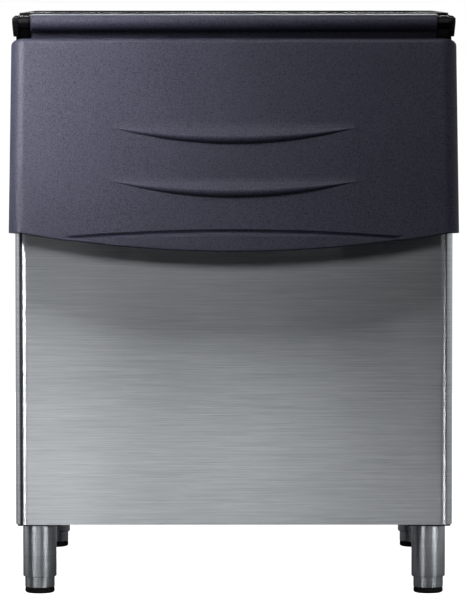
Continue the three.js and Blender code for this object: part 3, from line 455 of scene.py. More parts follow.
@dataclass(frozen=True)
class CutFoam:
    """Rigid insulation: a pale yellow foam with fine open cells."""

    pale: Triple = (0.66, 0.62, 0.48)
    deep: Triple = (0.46, 0.42, 0.30)
    roughness: tuple[float, float] = (0.95, 0.8)
    cell_scale: float = 700.0
    patch_scale: float = 18.0
    patch_share: float = 0.4
    contrast: tuple[float, float] = (0.15, 0.6)
    bump: tuple[float, float] = (0.6, 0.0008)

    def material(self, name: str) -> bpy.types.Material:
        """Builds the material.

        Args:
            name: The material's name.

        Returns:
            The material.
        """
        graph = Surface(name)
        cell = graph.cells(self.cell_scale)
        tone = graph.ranged(cell.mixed(graph.noise(self.patch_scale), self.patch_share), *self.contrast)
        return graph.finish(
            Base_Color=graph.blended(tone, self.deep, self.pale),
            Roughness=graph.ranged(cell, 0.0, 0.7, *self.roughness),
            Normal=graph.bumped(cell, *self.bump),
        )


class Look(Enum):
    """The finishes of the bin, each under its material slot's name."""

    brushed_steel = BrushedSteel()
    galvanised_steel = Spangle()
    satin_tube = TurnedMetal((0.66, 0.69, 0.73), (0.46, 0.49, 0.53), 0.40)
    dark_steel = TurnedMetal((0.06, 0.06, 0.066), (0.03, 0.03, 0.034), 0.36)
    door_plastic = TextureMould((0.041, 0.0405, 0.069), (0.0085, 0.009, 0.0175), 0.52, specular=0.32)
    black_plastic = SmoothMould((0.0032, 0.0032, 0.004), (0.0018, 0.0018, 0.0024), 0.24, specular=0.18)
    black_rubber = TextureMould((0.008, 0.008, 0.008), (0.003, 0.003, 0.003), 0.72, 600.0, 0.0002, 0.15)
    liner_plastic = SmoothMould((0.78, 0.80, 0.80), (0.745, 0.765, 0.77), 0.36)
    foam = CutFoam()


NODE_LOOKS = {
    "outer_wrap": Look.brushed_steel,
    "back_panel": Look.galvanised_steel,
    "base_pan": Look.galvanised_steel,
    "liner": Look.liner_plastic,
    "foam_insulation": Look.foam,
    "top_rim": Look.black_plastic,
    "door_collar": Look.black_plastic,
    "door_shell": Look.door_plastic,
    "door_liner": Look.liner_plastic,
    "door_foam": Look.foam,
    "ice_deflector": Look.brushed_steel,
    "drain_seat": Look.liner_plastic,
    "drain_fitting": Look.black_plastic,
    "drain_nut": Look.black_plastic,
    "drain_strainer": Look.brushed_steel,
    "hinge_bracket": Look.black_plastic,
    "hinge_pin": Look.black_plastic,
    "hinge_bush": Look.black_plastic,
    "door_bumper": Look.black_rubber,
    "deflector_screw": Look.black_plastic,
    "bracket_screw": Look.dark_steel,
    "leg_plate": Look.dark_steel,
    "leg_sleeve": Look.satin_tube,
    "foot_tube": Look.satin_tube,
    "foot_pad": Look.black_rubber,
}


def node_look(node: str) -> Look:
    """Finish of a solid, found by the name that starts its own."""
    return next(look for start, look in NODE_LOOKS.items() if node.startswith(start))


class Palette:
    """Makes each finish's material once, and dresses pieces with them."""

    def __init__(self) -> None:
        """Starts with no material made."""
        self.made: dict[str, bpy.types.Material] = {}

    def paint(self, piece: bpy.types.Object, look: Look) -> None:
        """Gives a piece the material of a finish in all its slots.

        Args:
            piece: The piece.
            look: Its finish.
        """
        if look.name not in self.made:
            self.made[look.name] = look.value.material(f"finish_{look.name}")
        slots = piece.data.materials
        if len(slots) == 0:
            slots.append(self.made[look.name])
        for index in range(len(slots)):
            slots[index] = self.made[look.name]

    def dress(self, piece: bpy.types.Object, look: Look, node: str, stands_in: bool = True) -> None:
        """Paints a finished piece, rides it on a solid's body and hides the solid.

        Args:
            piece: The finished piece.
            look: Its finish.
            node: The solid that it stands in for, or rides with.
            stands_in: False where the solid keeps its own finished piece beside this one.
        """
        self.paint(piece, look)
        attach(piece, body_of(frame["nodes"][node])[0])
        if stands_in:
            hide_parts(node)
        log.info("%s: %d faces, with %s", piece.name, len(piece.data.polygons), node)


# Surfaces


class Shape:
    """Grids of points gathered into one mesh, whose borders weld where they meet."""

    def __init__(self) -> None:
        """Starts empty."""
        self.points: list[np.ndarray] = []
        self.faces: list[np.ndarray] = []
        self.count = 0

    def grid(self, points: np.ndarray, around: bool = False) -> "Shape":
        """Adds a grid of quads, each between a point, the next in its row and the two below.

        Args:
            points: Places in metres, rows by columns by 3.
            around: True where the last column joins the first.

        Returns:
            The shape itself.
        """
        rows, columns = points.shape[:2]
        number = self.count + np.arange(rows * columns).reshape(rows, columns)
        if around:
            number = np.concatenate([number, number[:, :1]], axis=1)
        quads = np.stack([number[:-1, :-1], number[:-1, 1:], number[1:, 1:], number[1:, :-1]], axis=-1)
        self.points.append(points.reshape(-1, 3))
        self.faces.append(quads.reshape(-1, 4))
        self.count += rows * columns
        return self

    def block(self, front: np.ndarray, rear: np.ndarray) -> "Shape":
        """Adds a closed block between two grids of the same size.

        Args:
            front: Places of one side, rows by columns by 3.
            rear: Places of the other side, matched one to one.

        Returns:
            The shape itself.
        """
        self.grid(np.concatenate([front, rear[:, ::-1]], axis=1), around=True)
        for row in (0, -1):
            self.grid(np.stack([front[row], rear[row]]))
        return self

    def prism(self, outlines: np.ndarray) -> "Shape":
        """Adds outlines carried along their rows, each end closed on the mean of its own points.

        Args:
            outlines: Places, rows by columns by 3, of outlines that bulge outwards.

        Returns:
            The shape itself.
        """
        start, end = (np.broadcast_to(outlines[row].mean(axis=0), outlines[row].shape) for row in (0, -1))
        return self.grid(np.concatenate([start[None], outlines, end[None]]), around=True)

    def object(self, name: str, crisp_degrees: float = CRISP_DEGREES) -> bpy.types.Object:
        """Makes the mesh object: doubles merged, faces turned outwards, shaded smooth up to an angle.

        Args:
            name: The piece's name.
            crisp_degrees: Edges sharper than this stay crisp.

        Returns:
            The object, at the origin.
        """
        mesh = bpy.data.meshes.new(name)
        vertices = np.concatenate(self.points)
        faces = np.concatenate(self.faces)
        mesh.vertices.add(len(vertices))
        mesh.vertices.foreach_set("co", vertices.astype(np.float32).ravel())
        mesh.loops.add(faces.size)
        mesh.loops.foreach_set("vertex_index", faces.astype(np.int32).ravel())
        mesh.polygons.add(len(faces))
        mesh.polygons.foreach_set("loop_start", np.arange(0, faces.size, 4, dtype=np.int32))
        mesh.update(calc_edges=True)
        welded(mesh)
        smoothed(mesh, crisp_degrees)
        return linked(name, mesh)


def linked(name: str, mesh: bpy.types.Mesh) -> bpy.types.Object:
    """Puts a mesh into the scene as an object.

    Args:
        name: The object's name.
        mesh: Its mesh.

    Returns:
        The object, at the origin.
    """
    piece = bpy.data.objects.new(name, mesh)
    bpy.context.scene.collection.objects.link(piece)
    return piece


def welded(mesh: bpy.types.Mesh, flat_degrees: float = 0.0) -> None:
    """Merges a mesh's doubles and turns its faces outwards.

    Args:
        mesh: The mesh to change.
        flat_degrees: Neighbouring faces closer to one plane than this become one face.
    """
    work = bmesh.new()
    work.from_mesh(mesh)
    bmesh.ops.remove_doubles(work, verts=work.verts, dist=WELD_DISTANCE)
    bmesh.ops.dissolve_degenerate(work, edges=work.edges, dist=WELD_DISTANCE)
    if flat_degrees > 0:
        flat = math.radians(flat_degrees)
        bmesh.ops.dissolve_limit(work, angle_limit=flat, verts=work.verts, edges=work.edges)
    bmesh.ops.recalc_face_normals(work, faces=work.faces)
    work.to_mesh(mesh)
    work.free()


def smoothed(mesh: bpy.types.Mesh, crisp_degrees: float) -> None:
    """Shades a mesh smooth, with edges sharper than an angle kept crisp."""
    mesh.polygons.foreach_set("use_smooth", np.ones(len(mesh.polygons), bool))
    mesh.set_sharp_from_angle(angle=math.radians(crisp_degrees))


def applied(piece: bpy.types.Object) -> None:
    """Replaces a piece's mesh by the one its modifiers make, and removes the modifiers.

    Args:
        piece: The piece.
    """
    finished = piece.evaluated_get(bpy.context.evaluated_depsgraph_get())
    mesh = bpy.data.meshes.new_from_object(finished)
    piece.modifiers.clear()
    piece.data = mesh


def carved(piece: bpy.types.Object, *cutters: bpy.types.Object) -> bpy.types.Object:
    """Cuts closed shapes out of a closed piece and removes them.

    Args:
        piece: The piece to cut.
        *cutters: The shapes to take away, in order.

    Returns:
        The piece.
    """
    for cutter in cutters:
        cut = piece.modifiers.new("cut", "BOOLEAN")
        cut.operation = "DIFFERENCE"
        cut.solver = "MANIFOLD"
        cut.object = cutter
        applied(piece)
        bpy.data.objects.remove(cutter)
    welded(piece.data)
    smoothed(piece.data, CRISP_DEGREES)
    return piece


def in_row(x: np.ndarray | float, y: np.ndarray | float, z: np.ndarray | float) -> np.ndarray:
    """Carries places to the row frame.

    Args:
        x: Across from the middle, in millimetres.
        y: Back from the foot of the front panel.
        z: Up from the floor.

    Returns:
        Places in metres, with a last axis of 3.
    """
    rear = np.array([0.0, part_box("back_panel")[1].y, 0.0])
    across, deep, high = np.broadcast_arrays(x, y, z)
    return np.stack([across, deep - CABINET_DEPTH, high], axis=-1) * MILLIMETRE + rear


def shares(steps: int, first: int = 0, last: int = 0) -> np.ndarray:
    """Even shares from 0 to 1 as a column, without some of the first and of the last."""
    return np.linspace(0.0, 1.0, steps + 1)[first : steps + 1 - last, None]


def turned(profile: np.ndarray, centre: tuple[float, float], steps: int) -> np.ndarray:
    """Turns a profile about an upright axis: centre plus radius times cosine and sine, at its height.

    Args:
        profile: Radius and height of each point, in millimetres, from one pole to the other.
        centre: The axis's place across and back.
        steps: Columns round the axis.

    Returns:
        A grid to be closed round its columns.
    """
    radius, height = profile.T[:, :, None]
    angle = np.linspace(0.0, 2 * math.pi, steps, endpoint=False)
    return in_row(centre[0] + radius * np.cos(angle), centre[1] + radius * np.sin(angle), height)


def rounded(corners: list[Triple], steps: int = 6) -> np.ndarray:
    """Rounds the corners of an outline.

    Each corner becomes an arc that touches both of its sides, worked out as the corner plus the
    two directions along its sides, weighted so that every point is one radius from the centre.

    Args:
        corners: Each corner's two coordinates and its radius, with 0 for a sharp one.
        steps: Steps in each arc.

    Returns:
        The outline's points, by 2.
    """
    made = []
    count = len(corners)
    for index, (first, second, radius) in enumerate(corners):
        here = np.array([first, second])
        if radius <= 0:
            made.append(here[None])
            continue
        before = np.array(corners[index - 1][:2]) - here
        after = np.array(corners[(index + 1) % count][:2]) - here
        before = before / np.linalg.norm(before)
        after = after / np.linalg.norm(after)
        half = math.acos(float(np.clip(before @ after, -1.0, 1.0))) / 2
        bisector = (before + after) / np.linalg.norm(before + after)
        centre = here + bisector * radius / math.sin(half)
        start = here + before * radius / math.tan(half) - centre
        end = here + after * radius / math.tan(half) - centre
        sweep = math.pi - 2 * half
        share = shares(steps)
        arc = (np.sin((1 - share) * sweep) * start + np.sin(share * sweep) * end) / math.sin(sweep)
        made.append(centre + arc)
    return np.concatenate(made)


def round_sided(half: float, radius: float, turn_steps: int, flat_steps: int) -> Pair:
    """Columns across a panel whose upright edges are rounded: even on the flat, then round each edge.

    Args:
        half: Half the panel's width, in millimetres.
        radius: Radius of its upright edges.
        turn_steps: Steps in each rounded edge.
        flat_steps: Steps on the flat.

    Returns:
        Where each column's arc has its centre, and how far the column has turned round it.
    """
    flat = half - radius
    turn = np.linspace(0.0, QUARTER_TURN, turn_steps + 1)
    middle = np.linspace(-flat, flat, flat_steps + 1)[1:-1]
    centre = np.concatenate([np.full_like(turn, -flat), middle, np.full_like(turn, flat)])
    return centre, np.concatenate([-turn[::-1], np.zeros_like(middle), turn])


# The bin


@dataclass(frozen=True)
class Slope:
    """The leaning front above the steel panel: up runs along it, out is square to it."""

    lean: float = LEAN
    foot: float = SEAT_TOP - (DOOR_RISE + RISE_ABOVE_DOOR) * math.cos(LEAN)

    def at(self, x: np.ndarray, up: np.ndarray, out: np.ndarray) -> np.ndarray:
        """Places in the row frame from places on the slope, in millimetres."""
        return in_row(x, self.deep(up, out), self.high(up, out))

    def deep(self, up: np.ndarray, out: np.ndarray) -> np.ndarray:
        """Distance back: up times the lean's sine, less out times its cosine."""
        return up * math.sin(self.lean) - out * math.cos(self.lean)

    def high(self, up: np.ndarray, out: np.ndarray) -> np.ndarray:
        """Height: the slope's foot, plus up times the lean's cosine and out times its sine."""
        return self.foot + up * math.cos(self.lean) + out * math.sin(self.lean)

    def up_at(self, height: np.ndarray, out: np.ndarray) -> np.ndarray:
        """Distance up the slope where a place that far out has a given height."""
        return (height - self.foot - out * math.sin(self.lean)) / math.cos(self.lean)


SLOPE = Slope()


@dataclass
class Wrap:
    """Stainless sheet round the front and both sides."""

    palette: Palette
    corner: float = 22.0
    sheet: float = 1.2
    low: float = 125.0
    slope_end: float = 100.0
    corner_steps: int = 28
    flat_steps: int = 24
    height_steps: int = 24
    path_crisp_degrees: float = 60.0
    sheet_crisp_degrees: float = 50.0

    def plan(self) -> Pair:
        """Path of the sheet seen from above: up one side, round both corners and down the other.

        A corner is a quarter circle: its centre less the radius times the angle's cosine and sine.
        Each side has a column more where the sloped top edge ends.

        Returns:
            Places across and places back, in millimetres.
        """
        turn = np.linspace(0.0, QUARTER_TURN, self.corner_steps + 1)
        centre = CABINET_HALF - self.corner
        side = np.linspace(CABINET_DEPTH, self.corner, self.flat_steps, endpoint=False)
        side = np.sort(np.append(side, self.slope_end))[::-1]
        front = np.linspace(-centre, centre, self.flat_steps + 1)[1:-1]
        x_left = np.concatenate([np.full_like(side, -CABINET_HALF), -centre - self.corner * np.cos(turn)])
        y_left = np.concatenate([side, self.corner - self.corner * np.sin(turn)])
        x = np.concatenate([x_left, front, -x_left[::-1]])
        y = np.concatenate([y_left, np.zeros_like(front), y_left[::-1]])
        return x, y

    def top(self, y: np.ndarray) -> np.ndarray:
        """Height of the sheet's top edge: along the slope at the front, level behind it."""
        return np.minimum(SEAT_TOP, SLOPE.foot + y / math.tan(SLOPE.lean))

    def build(self) -> None:
        """Makes the sheet: heights spread evenly from the bottom edge to the top edge."""
        x, y = self.plan()
        height = self.low + (self.top(y) - self.low) * shares(self.height_steps)
        sheet = Shape().grid(in_row(x, y, height)).object("steel_wrap", self.path_crisp_degrees)
        wall = sheet.modifiers.new("wall", "SOLIDIFY")
        wall.thickness = self.sheet * MILLIMETRE
        wall.offset = -1.0
        wall.use_even_offset = True
        applied(sheet)
        smoothed(sheet.data, self.sheet_crisp_degrees)
        self.palette.dress(sheet, Look.brushed_steel, "outer_wrap")


@dataclass
class Seal:
    """Dark bead of sealant that fills the joint between the rim and the sheet metal."""

    palette: Palette
    low: float = 1010.6
    high: float = 1011.7
    half: float = 378.3
    width: float = 4.2
    front: float = 101.0
    rear: float = 809.6
    radius: float = 8.0
    corner_steps: int = 8

    def loop(self, grow: float) -> np.ndarray:
        """Outline seen from above: a rectangle with rounded corners.

        Args:
            grow: How far it is moved outwards from the bead's middle.

        Returns:
            Places across and back, by 2.
        """
        half, radius = self.half + grow, self.radius + grow
        front, rear = self.front - grow, self.rear + grow
        corners = [(-half, front), (half, front), (half, rear), (-half, rear)]
        return rounded([(x, y, radius) for x, y in corners], self.corner_steps)

    def build(self) -> None:
        """Makes the bead: four outlines joined into a ring with a flat rectangular section."""
        outer, inner = self.loop(self.width / 2), self.loop(-self.width / 2)
        outlines = np.stack([outer, outer, inner, inner, outer])
        height = np.array([self.low, self.high, self.high, self.low, self.low])[:, None]
        points = in_row(outlines[:, :, 0], outlines[:, :, 1], height)
        bead = Shape().grid(points, around=True).object("rim_seal")
        self.palette.dress(bead, Look.black_rubber, "top_rim", stands_in=False)


@dataclass
class Door:
    """Moulded lift-up door: face with two smile ledges and a pull, returns, roll and neck."""

    palette: Palette
    half: float = 387.5
    rise: float = DOOR_RISE
    face: float = 58.0
    seat: float = 6.0
    returns: float = 22.0
    draft_top: float = 0.6
    draft: float = 1.6
    wall: float = 3.2
    face_wall: float = 6.0
    side_radius: float = 26.0
    top_radius: float = 10.0
    bottom_radius: float = 3.0
    bottom_corner: float = -15.5
    bottom_sag: float = 33.6
    corner_flat: float = 19.0
    underside_trim: float = 0.3
    smile_half: float = 209.0
    smile_tips: tuple[float, float] = (DOOR_RISE * 0.5144, DOOR_RISE * 0.2285)
    smile_sag: float = 28.0
    smile_rise: float = 9.0
    smile_step: float = 0.38
    smile_nose: float = 0.2
    pull_half: float = 289.0
    pull_height: float = 41.0
    pull_sag: float = 12.4
    pull_foot: float = 8.6
    pull_rise: float = 6.5
    pull_steepness: float = 9.0
    groove_depth: float = 3.6
    groove_width: float = 4.8
    groove_steepness: float = 12.0
    groove_room: float = 0.5
    shoulder: float = 4.8
    recess_half: float = 185.5
    recess_top: float = -8.0
    recess_depth: float = 36.0
    recess_corner: float = 16.0
    recess_wall: float = 3.3
    recess_below: float = 12.0
    roll_axis: tuple[float, float] = (57.97, 999.0)
    roll_radius: float = 15.0
    roll_half: float = 354.0
    roll_edge: float = 1.2
    neck: float = 9.0
    neck_setback: float = 44.0
    neck_angles: tuple[float, float] = (-62.0, -18.0)
    bore: float = 8.8
    bore_reach: float = 28.3
    cut_beyond: float = 8.0
    cut_side: float = 6.0
    cut_span: float = 300.0
    edge_steps: int = 18
    face_steps: int = 150
    flat_steps: tuple[int, int, int] = (13, 8, 10)
    ramp_steps: int = 9
    nose_steps: int = 8
    groove_steps: int = 5
    shoulder_steps: int = 8
    foot_steps: int = 7
    round_steps: int = 8
    void_steps: tuple[int, int] = (12, 60)
    recess_steps: int = 10
    below_columns: int = 160
    roll_columns: int = 72
    neck_steps: int = 7
    roll_rows: int = 12
    roll_crisp_degrees: float = 40.0

    def swell(self, x: np.ndarray, reach: float) -> np.ndarray:
        """Share of a swelling's full height: 1 at the middle, falling as the square of the distance."""
        return np.maximum(0.0, 1.0 - (x / reach) ** 2)

    def bottom(self, x: np.ndarray) -> np.ndarray:
        """Height of the bottom edge up the slope."""
        return self.bottom_corner - self.bottom_sag * self.swell(x, self.half - self.corner_flat)

    def pull_top(self, x: np.ndarray) -> np.ndarray:
        """Height of the pull's upper edge: an arch that stays a little above the bottom edge."""
        arch = self.bottom(0.0 * x) + self.pull_height - self.pull_sag * (x / self.pull_half) ** 2
        return np.maximum(arch, self.bottom(x) + self.pull_foot)

    def pull_swell(self, x: np.ndarray) -> np.ndarray:
        """How far the pull stands out, steep at its tips."""
        return self.pull_rise * np.minimum(1.0, self.pull_steepness * self.swell(x, self.pull_half))

    def underside(self, x: np.ndarray) -> np.ndarray:
        """Height of the door's level underside above the floor."""
        out = self.face + self.pull_swell(x) - self.bottom_radius
        return SLOPE.high(self.bottom(x), out) + self.underside_trim

    def flat_rows(self, above: np.ndarray, below: np.ndarray, steps: int, first: int = 1) -> Pair:
        """Even rows on the flat face from one curve down to another, which isn't included.

        Args:
            above: Heights of the upper curve.
            below: Heights of the lower curve.
            steps: Steps between them.
            first: The first step, with 0 for the upper curve itself.

        Returns:
            Heights up the slope and distances out of the face, rows by columns.
        """
        share = shares(steps, first, 1)
        up = above * (1 - share) + below * share
        return up, np.zeros_like(up)

    def smile_rows(self, x: np.ndarray, tip: float) -> Pair:
        """Rows of a ledge: a ramp that starts on the chord, then a nose that turns under.

        Drop and rise both follow the swelling's share across the face. The ramp falls and comes out
        evenly, and the nose is a quarter of an ellipse from the ramp's end back to the face.

        Args:
            x: Places across the face.
            tip: Height of the ledge's tips.

        Returns:
            Heights up the slope and distances out of the face, rows by columns.
        """
        ramp, nose = shares(self.ramp_steps), shares(self.nose_steps, 1)
        edge = 1 - self.smile_step
        fall = np.concatenate([edge * ramp, edge + self.smile_step * np.sin(nose * QUARTER_TURN)])
        lift = np.concatenate([ramp, np.cos(nose * QUARTER_TURN)])
        under = np.concatenate([np.zeros_like(ramp), self.smile_nose * nose])
        swell = self.swell(x, self.smile_half)
        return tip - self.smile_sag * fall * swell - under, self.smile_rise * lift * swell

    def pull_rows(self, x: np.ndarray) -> Pair:
        """Rows across the pull's upper edge: a fine groove, then a rounded shoulder.

        The groove deepens as a quarter of a sine wave, and the shoulder climbs out of it as half a
        cosine wave.

        Args:
            x: Places across the face.

        Returns:
            Heights up the slope and distances out of the face, rows by columns.
        """
        groove, shoulder = shares(self.groove_steps), shares(self.shoulder_steps, 1)
        wave = (1 - np.cos(shoulder * math.pi)) / 2
        down = np.concatenate([self.groove_width * groove, self.groove_width + self.shoulder * shoulder])
        dip = np.concatenate([np.sin(groove * QUARTER_TURN), 1 - wave])
        lift = np.concatenate([np.zeros_like(groove), wave])
        tips = np.minimum(1.0, self.groove_steepness * self.swell(x, self.pull_half))
        top = self.pull_top(x)
        room = self.groove_width + self.shoulder + self.groove_room
        space = np.minimum(1.0, (top - self.bottom(x) - self.bottom_radius) / room)
        return top - down * space, lift * self.pull_swell(x) - dip * self.groove_depth * tips

    def face_rows(self, x: np.ndarray) -> Pair:
        """All rows of the face, from its top edge over both ledges and the pull to its bottom edge.

        Args:
            x: Places across the face.

        Returns:
            Heights up the slope and distances out of the face, rows by columns.
        """
        above, between, below = self.flat_steps
        upper_tip, lower_tip = (np.full_like(x, tip) for tip in self.smile_tips)
        upper, lower = (self.smile_rows(x, tip) for tip in self.smile_tips)
        pull = self.pull_rows(x)
        ends = self.bottom(x) + self.bottom_radius, self.pull_swell(x)
        share = shares(self.foot_steps, 1)
        blocks = [
            self.flat_rows(np.full_like(x, self.rise - self.top_radius), upper_tip, above, first=0),
            upper,
            self.flat_rows(upper[0][-1], lower_tip, between),
            lower,
            self.flat_rows(lower[0][-1], self.pull_top(x), below),
            pull,
            tuple(rows[-1] + (end - rows[-1]) * share for rows, end in zip(pull, ends)),
        ]
        up, lift = (np.concatenate(parts) for parts in zip(*blocks))
        return up, lift

    def skin(self) -> bpy.types.Object:
        """Makes the door block from its rows and hollows it out.

        The top and the bottom edge repeat the first and the last row, drawn in by the radius times
        one less the cosine, and moved along the slope by the radius times the sine.

        Returns:
            The skin.
        """
        centre, angle = round_sided(self.half, self.side_radius, self.edge_steps, self.face_steps)
        up, lift = self.face_rows(centre + self.side_radius * np.sin(angle))
        turn = QUARTER_TURN * shares(self.round_steps, 1)
        flat = np.zeros((len(up), 1))
        top, bottom = (np.full_like(turn, radius) for radius in (self.top_radius, self.bottom_radius))
        edge, bend = np.concatenate([top, flat, bottom]), np.concatenate([-turn[::-1], flat, turn])
        shift = -edge * np.sin(bend)
        up, lift = (np.pad(rows, ((len(turn), len(turn)), (0, 0)), "edge") for rows in (up, lift))
        radius = self.side_radius - edge * (1 - np.cos(bend))
        draft = self.draft_top + self.draft * (1.0 - up / self.rise)
        x = (centre + radius * np.sin(angle)) * (1.0 + draft / self.half)
        out = self.face - self.side_radius + radius * np.cos(angle) + lift
        front, rear = (SLOPE.at(x, up + shift, away) for away in (out, np.full_like(out, -self.returns)))
        block = Shape().block(front, rear).object("door_skin")
        return carved(block, self.void(), self.recess(), self.below())

    def void(self) -> bpy.types.Object:
        """Space inside the skin: round-sided as the face is, open to the rear, level along the bottom.

        Returns:
            The cutter.
        """
        radius = self.side_radius - self.wall
        centre, angle = round_sided(self.half - self.wall, radius, *self.void_steps)
        x = centre + radius * np.sin(angle)
        out = self.face - self.face_wall - radius + radius * np.cos(angle)
        rear = np.full_like(out, -self.returns - self.cut_beyond)
        top, level = np.full_like(x, self.rise - self.wall), self.underside(x) + self.wall
        front_rows, rear_rows = (
            SLOPE.at(x, np.stack([top, SLOPE.up_at(level, away)]), away) for away in (out, rear)
        )
        return Shape().block(front_rows, rear_rows).object("cutter_void")

    def recess(self) -> bpy.types.Object:
        """Finger recess behind the pull: a rounded outline carried in from behind the door.

        Returns:
            The cutter, open to the rear and to the bottom edge.
        """
        low = self.bottom_corner - self.bottom_sag - self.recess_below
        half, top = self.recess_half + self.recess_wall, self.recess_top + self.recess_wall
        corner = self.recess_corner + self.recess_wall
        corners = [(-half, low, 0.0), (half, low, 0.0), (half, top, corner), (-half, top, corner)]
        outline = rounded(corners, self.recess_steps)
        inmost = self.seat + self.recess_depth + self.recess_wall
        out = np.array([-self.returns - self.cut_beyond, inmost])[:, None]
        return Shape().prism(SLOPE.at(outline[:, 0], outline[:, 1], out)).object("cutter_recess")

    def below(self) -> bpy.types.Object:
        """Everything below the door's level underside.

        Returns:
            The cutter.
        """
        side = self.half + self.cut_side
        x = np.linspace(-side, side, self.below_columns)
        height = np.stack([self.underside(x), np.full_like(x, self.cut_span)])
        near, far = (in_row(x, deep, height) for deep in (-self.cut_span, self.cut_span))
        return Shape().block(near, far).object("cutter_below")

    def roll_outline(self) -> np.ndarray:
        """Section of the roll and its neck: most of a circle, then the three sides of the neck.

        Returns:
            Places back and up, by 2.
        """
        foot_up, foot_out = self.rise - self.wall / 2, self.face - self.neck_setback
        near, far = (
            np.array([SLOPE.deep(foot_up, out), SLOPE.high(foot_up, out)])
            for out in (foot_out + self.neck / 2, foot_out - self.neck / 2)
        )
        start, end = (math.radians(angle) for angle in self.neck_angles)
        angle = np.linspace(start + 2 * math.pi, end, self.roll_columns)
        arc = self.roll_axis + self.roll_radius * np.stack([np.cos(angle), np.sin(angle)], axis=-1)
        corners = [arc[-1], far, near, arc[0]]
        share = shares(self.neck_steps, 1)
        sides = [here + (there - here) * share for here, there in zip(corners, corners[1:])]
        return np.concatenate([arc, *sides])[:-1]

    def roll(self) -> bpy.types.Object:
        """Makes the rolled top edge and its neck: one outline carried across, with a bore in each end.

        Returns:
            The roll.
        """
        outline = self.roll_outline()
        away = outline - self.roll_axis
        bore = self.roll_axis + away * self.bore / np.linalg.norm(away, axis=1, keepdims=True)
        pole = np.broadcast_to(self.roll_axis, outline.shape)
        drawn_in = self.roll_axis + away * (1 - self.roll_edge / self.roll_radius)
        half, edge = self.roll_half, self.roll_edge
        inner = half - self.bore_reach
        ends = [(pole, inner), (bore, inner), (bore, half), (drawn_in, half), (outline, half - edge)]
        barrel = np.linspace(-half + 2 * edge, half - 2 * edge, self.roll_rows)
        rows = [(loop, -place) for loop, place in ends]
        rows += [(outline, place) for place in barrel]
        rows += ends[::-1]
        points = np.stack([in_row(place, loop[:, 0], loop[:, 1]) for loop, place in rows])
        return Shape().grid(points, around=True).object("door_roll", self.roll_crisp_degrees)

    def build(self) -> None:
        """Makes and dresses the door's outer pieces."""
        self.palette.dress(self.skin(), Look.door_plastic, "door_shell")
        self.palette.dress(self.roll(), Look.door_plastic, "door_shell")


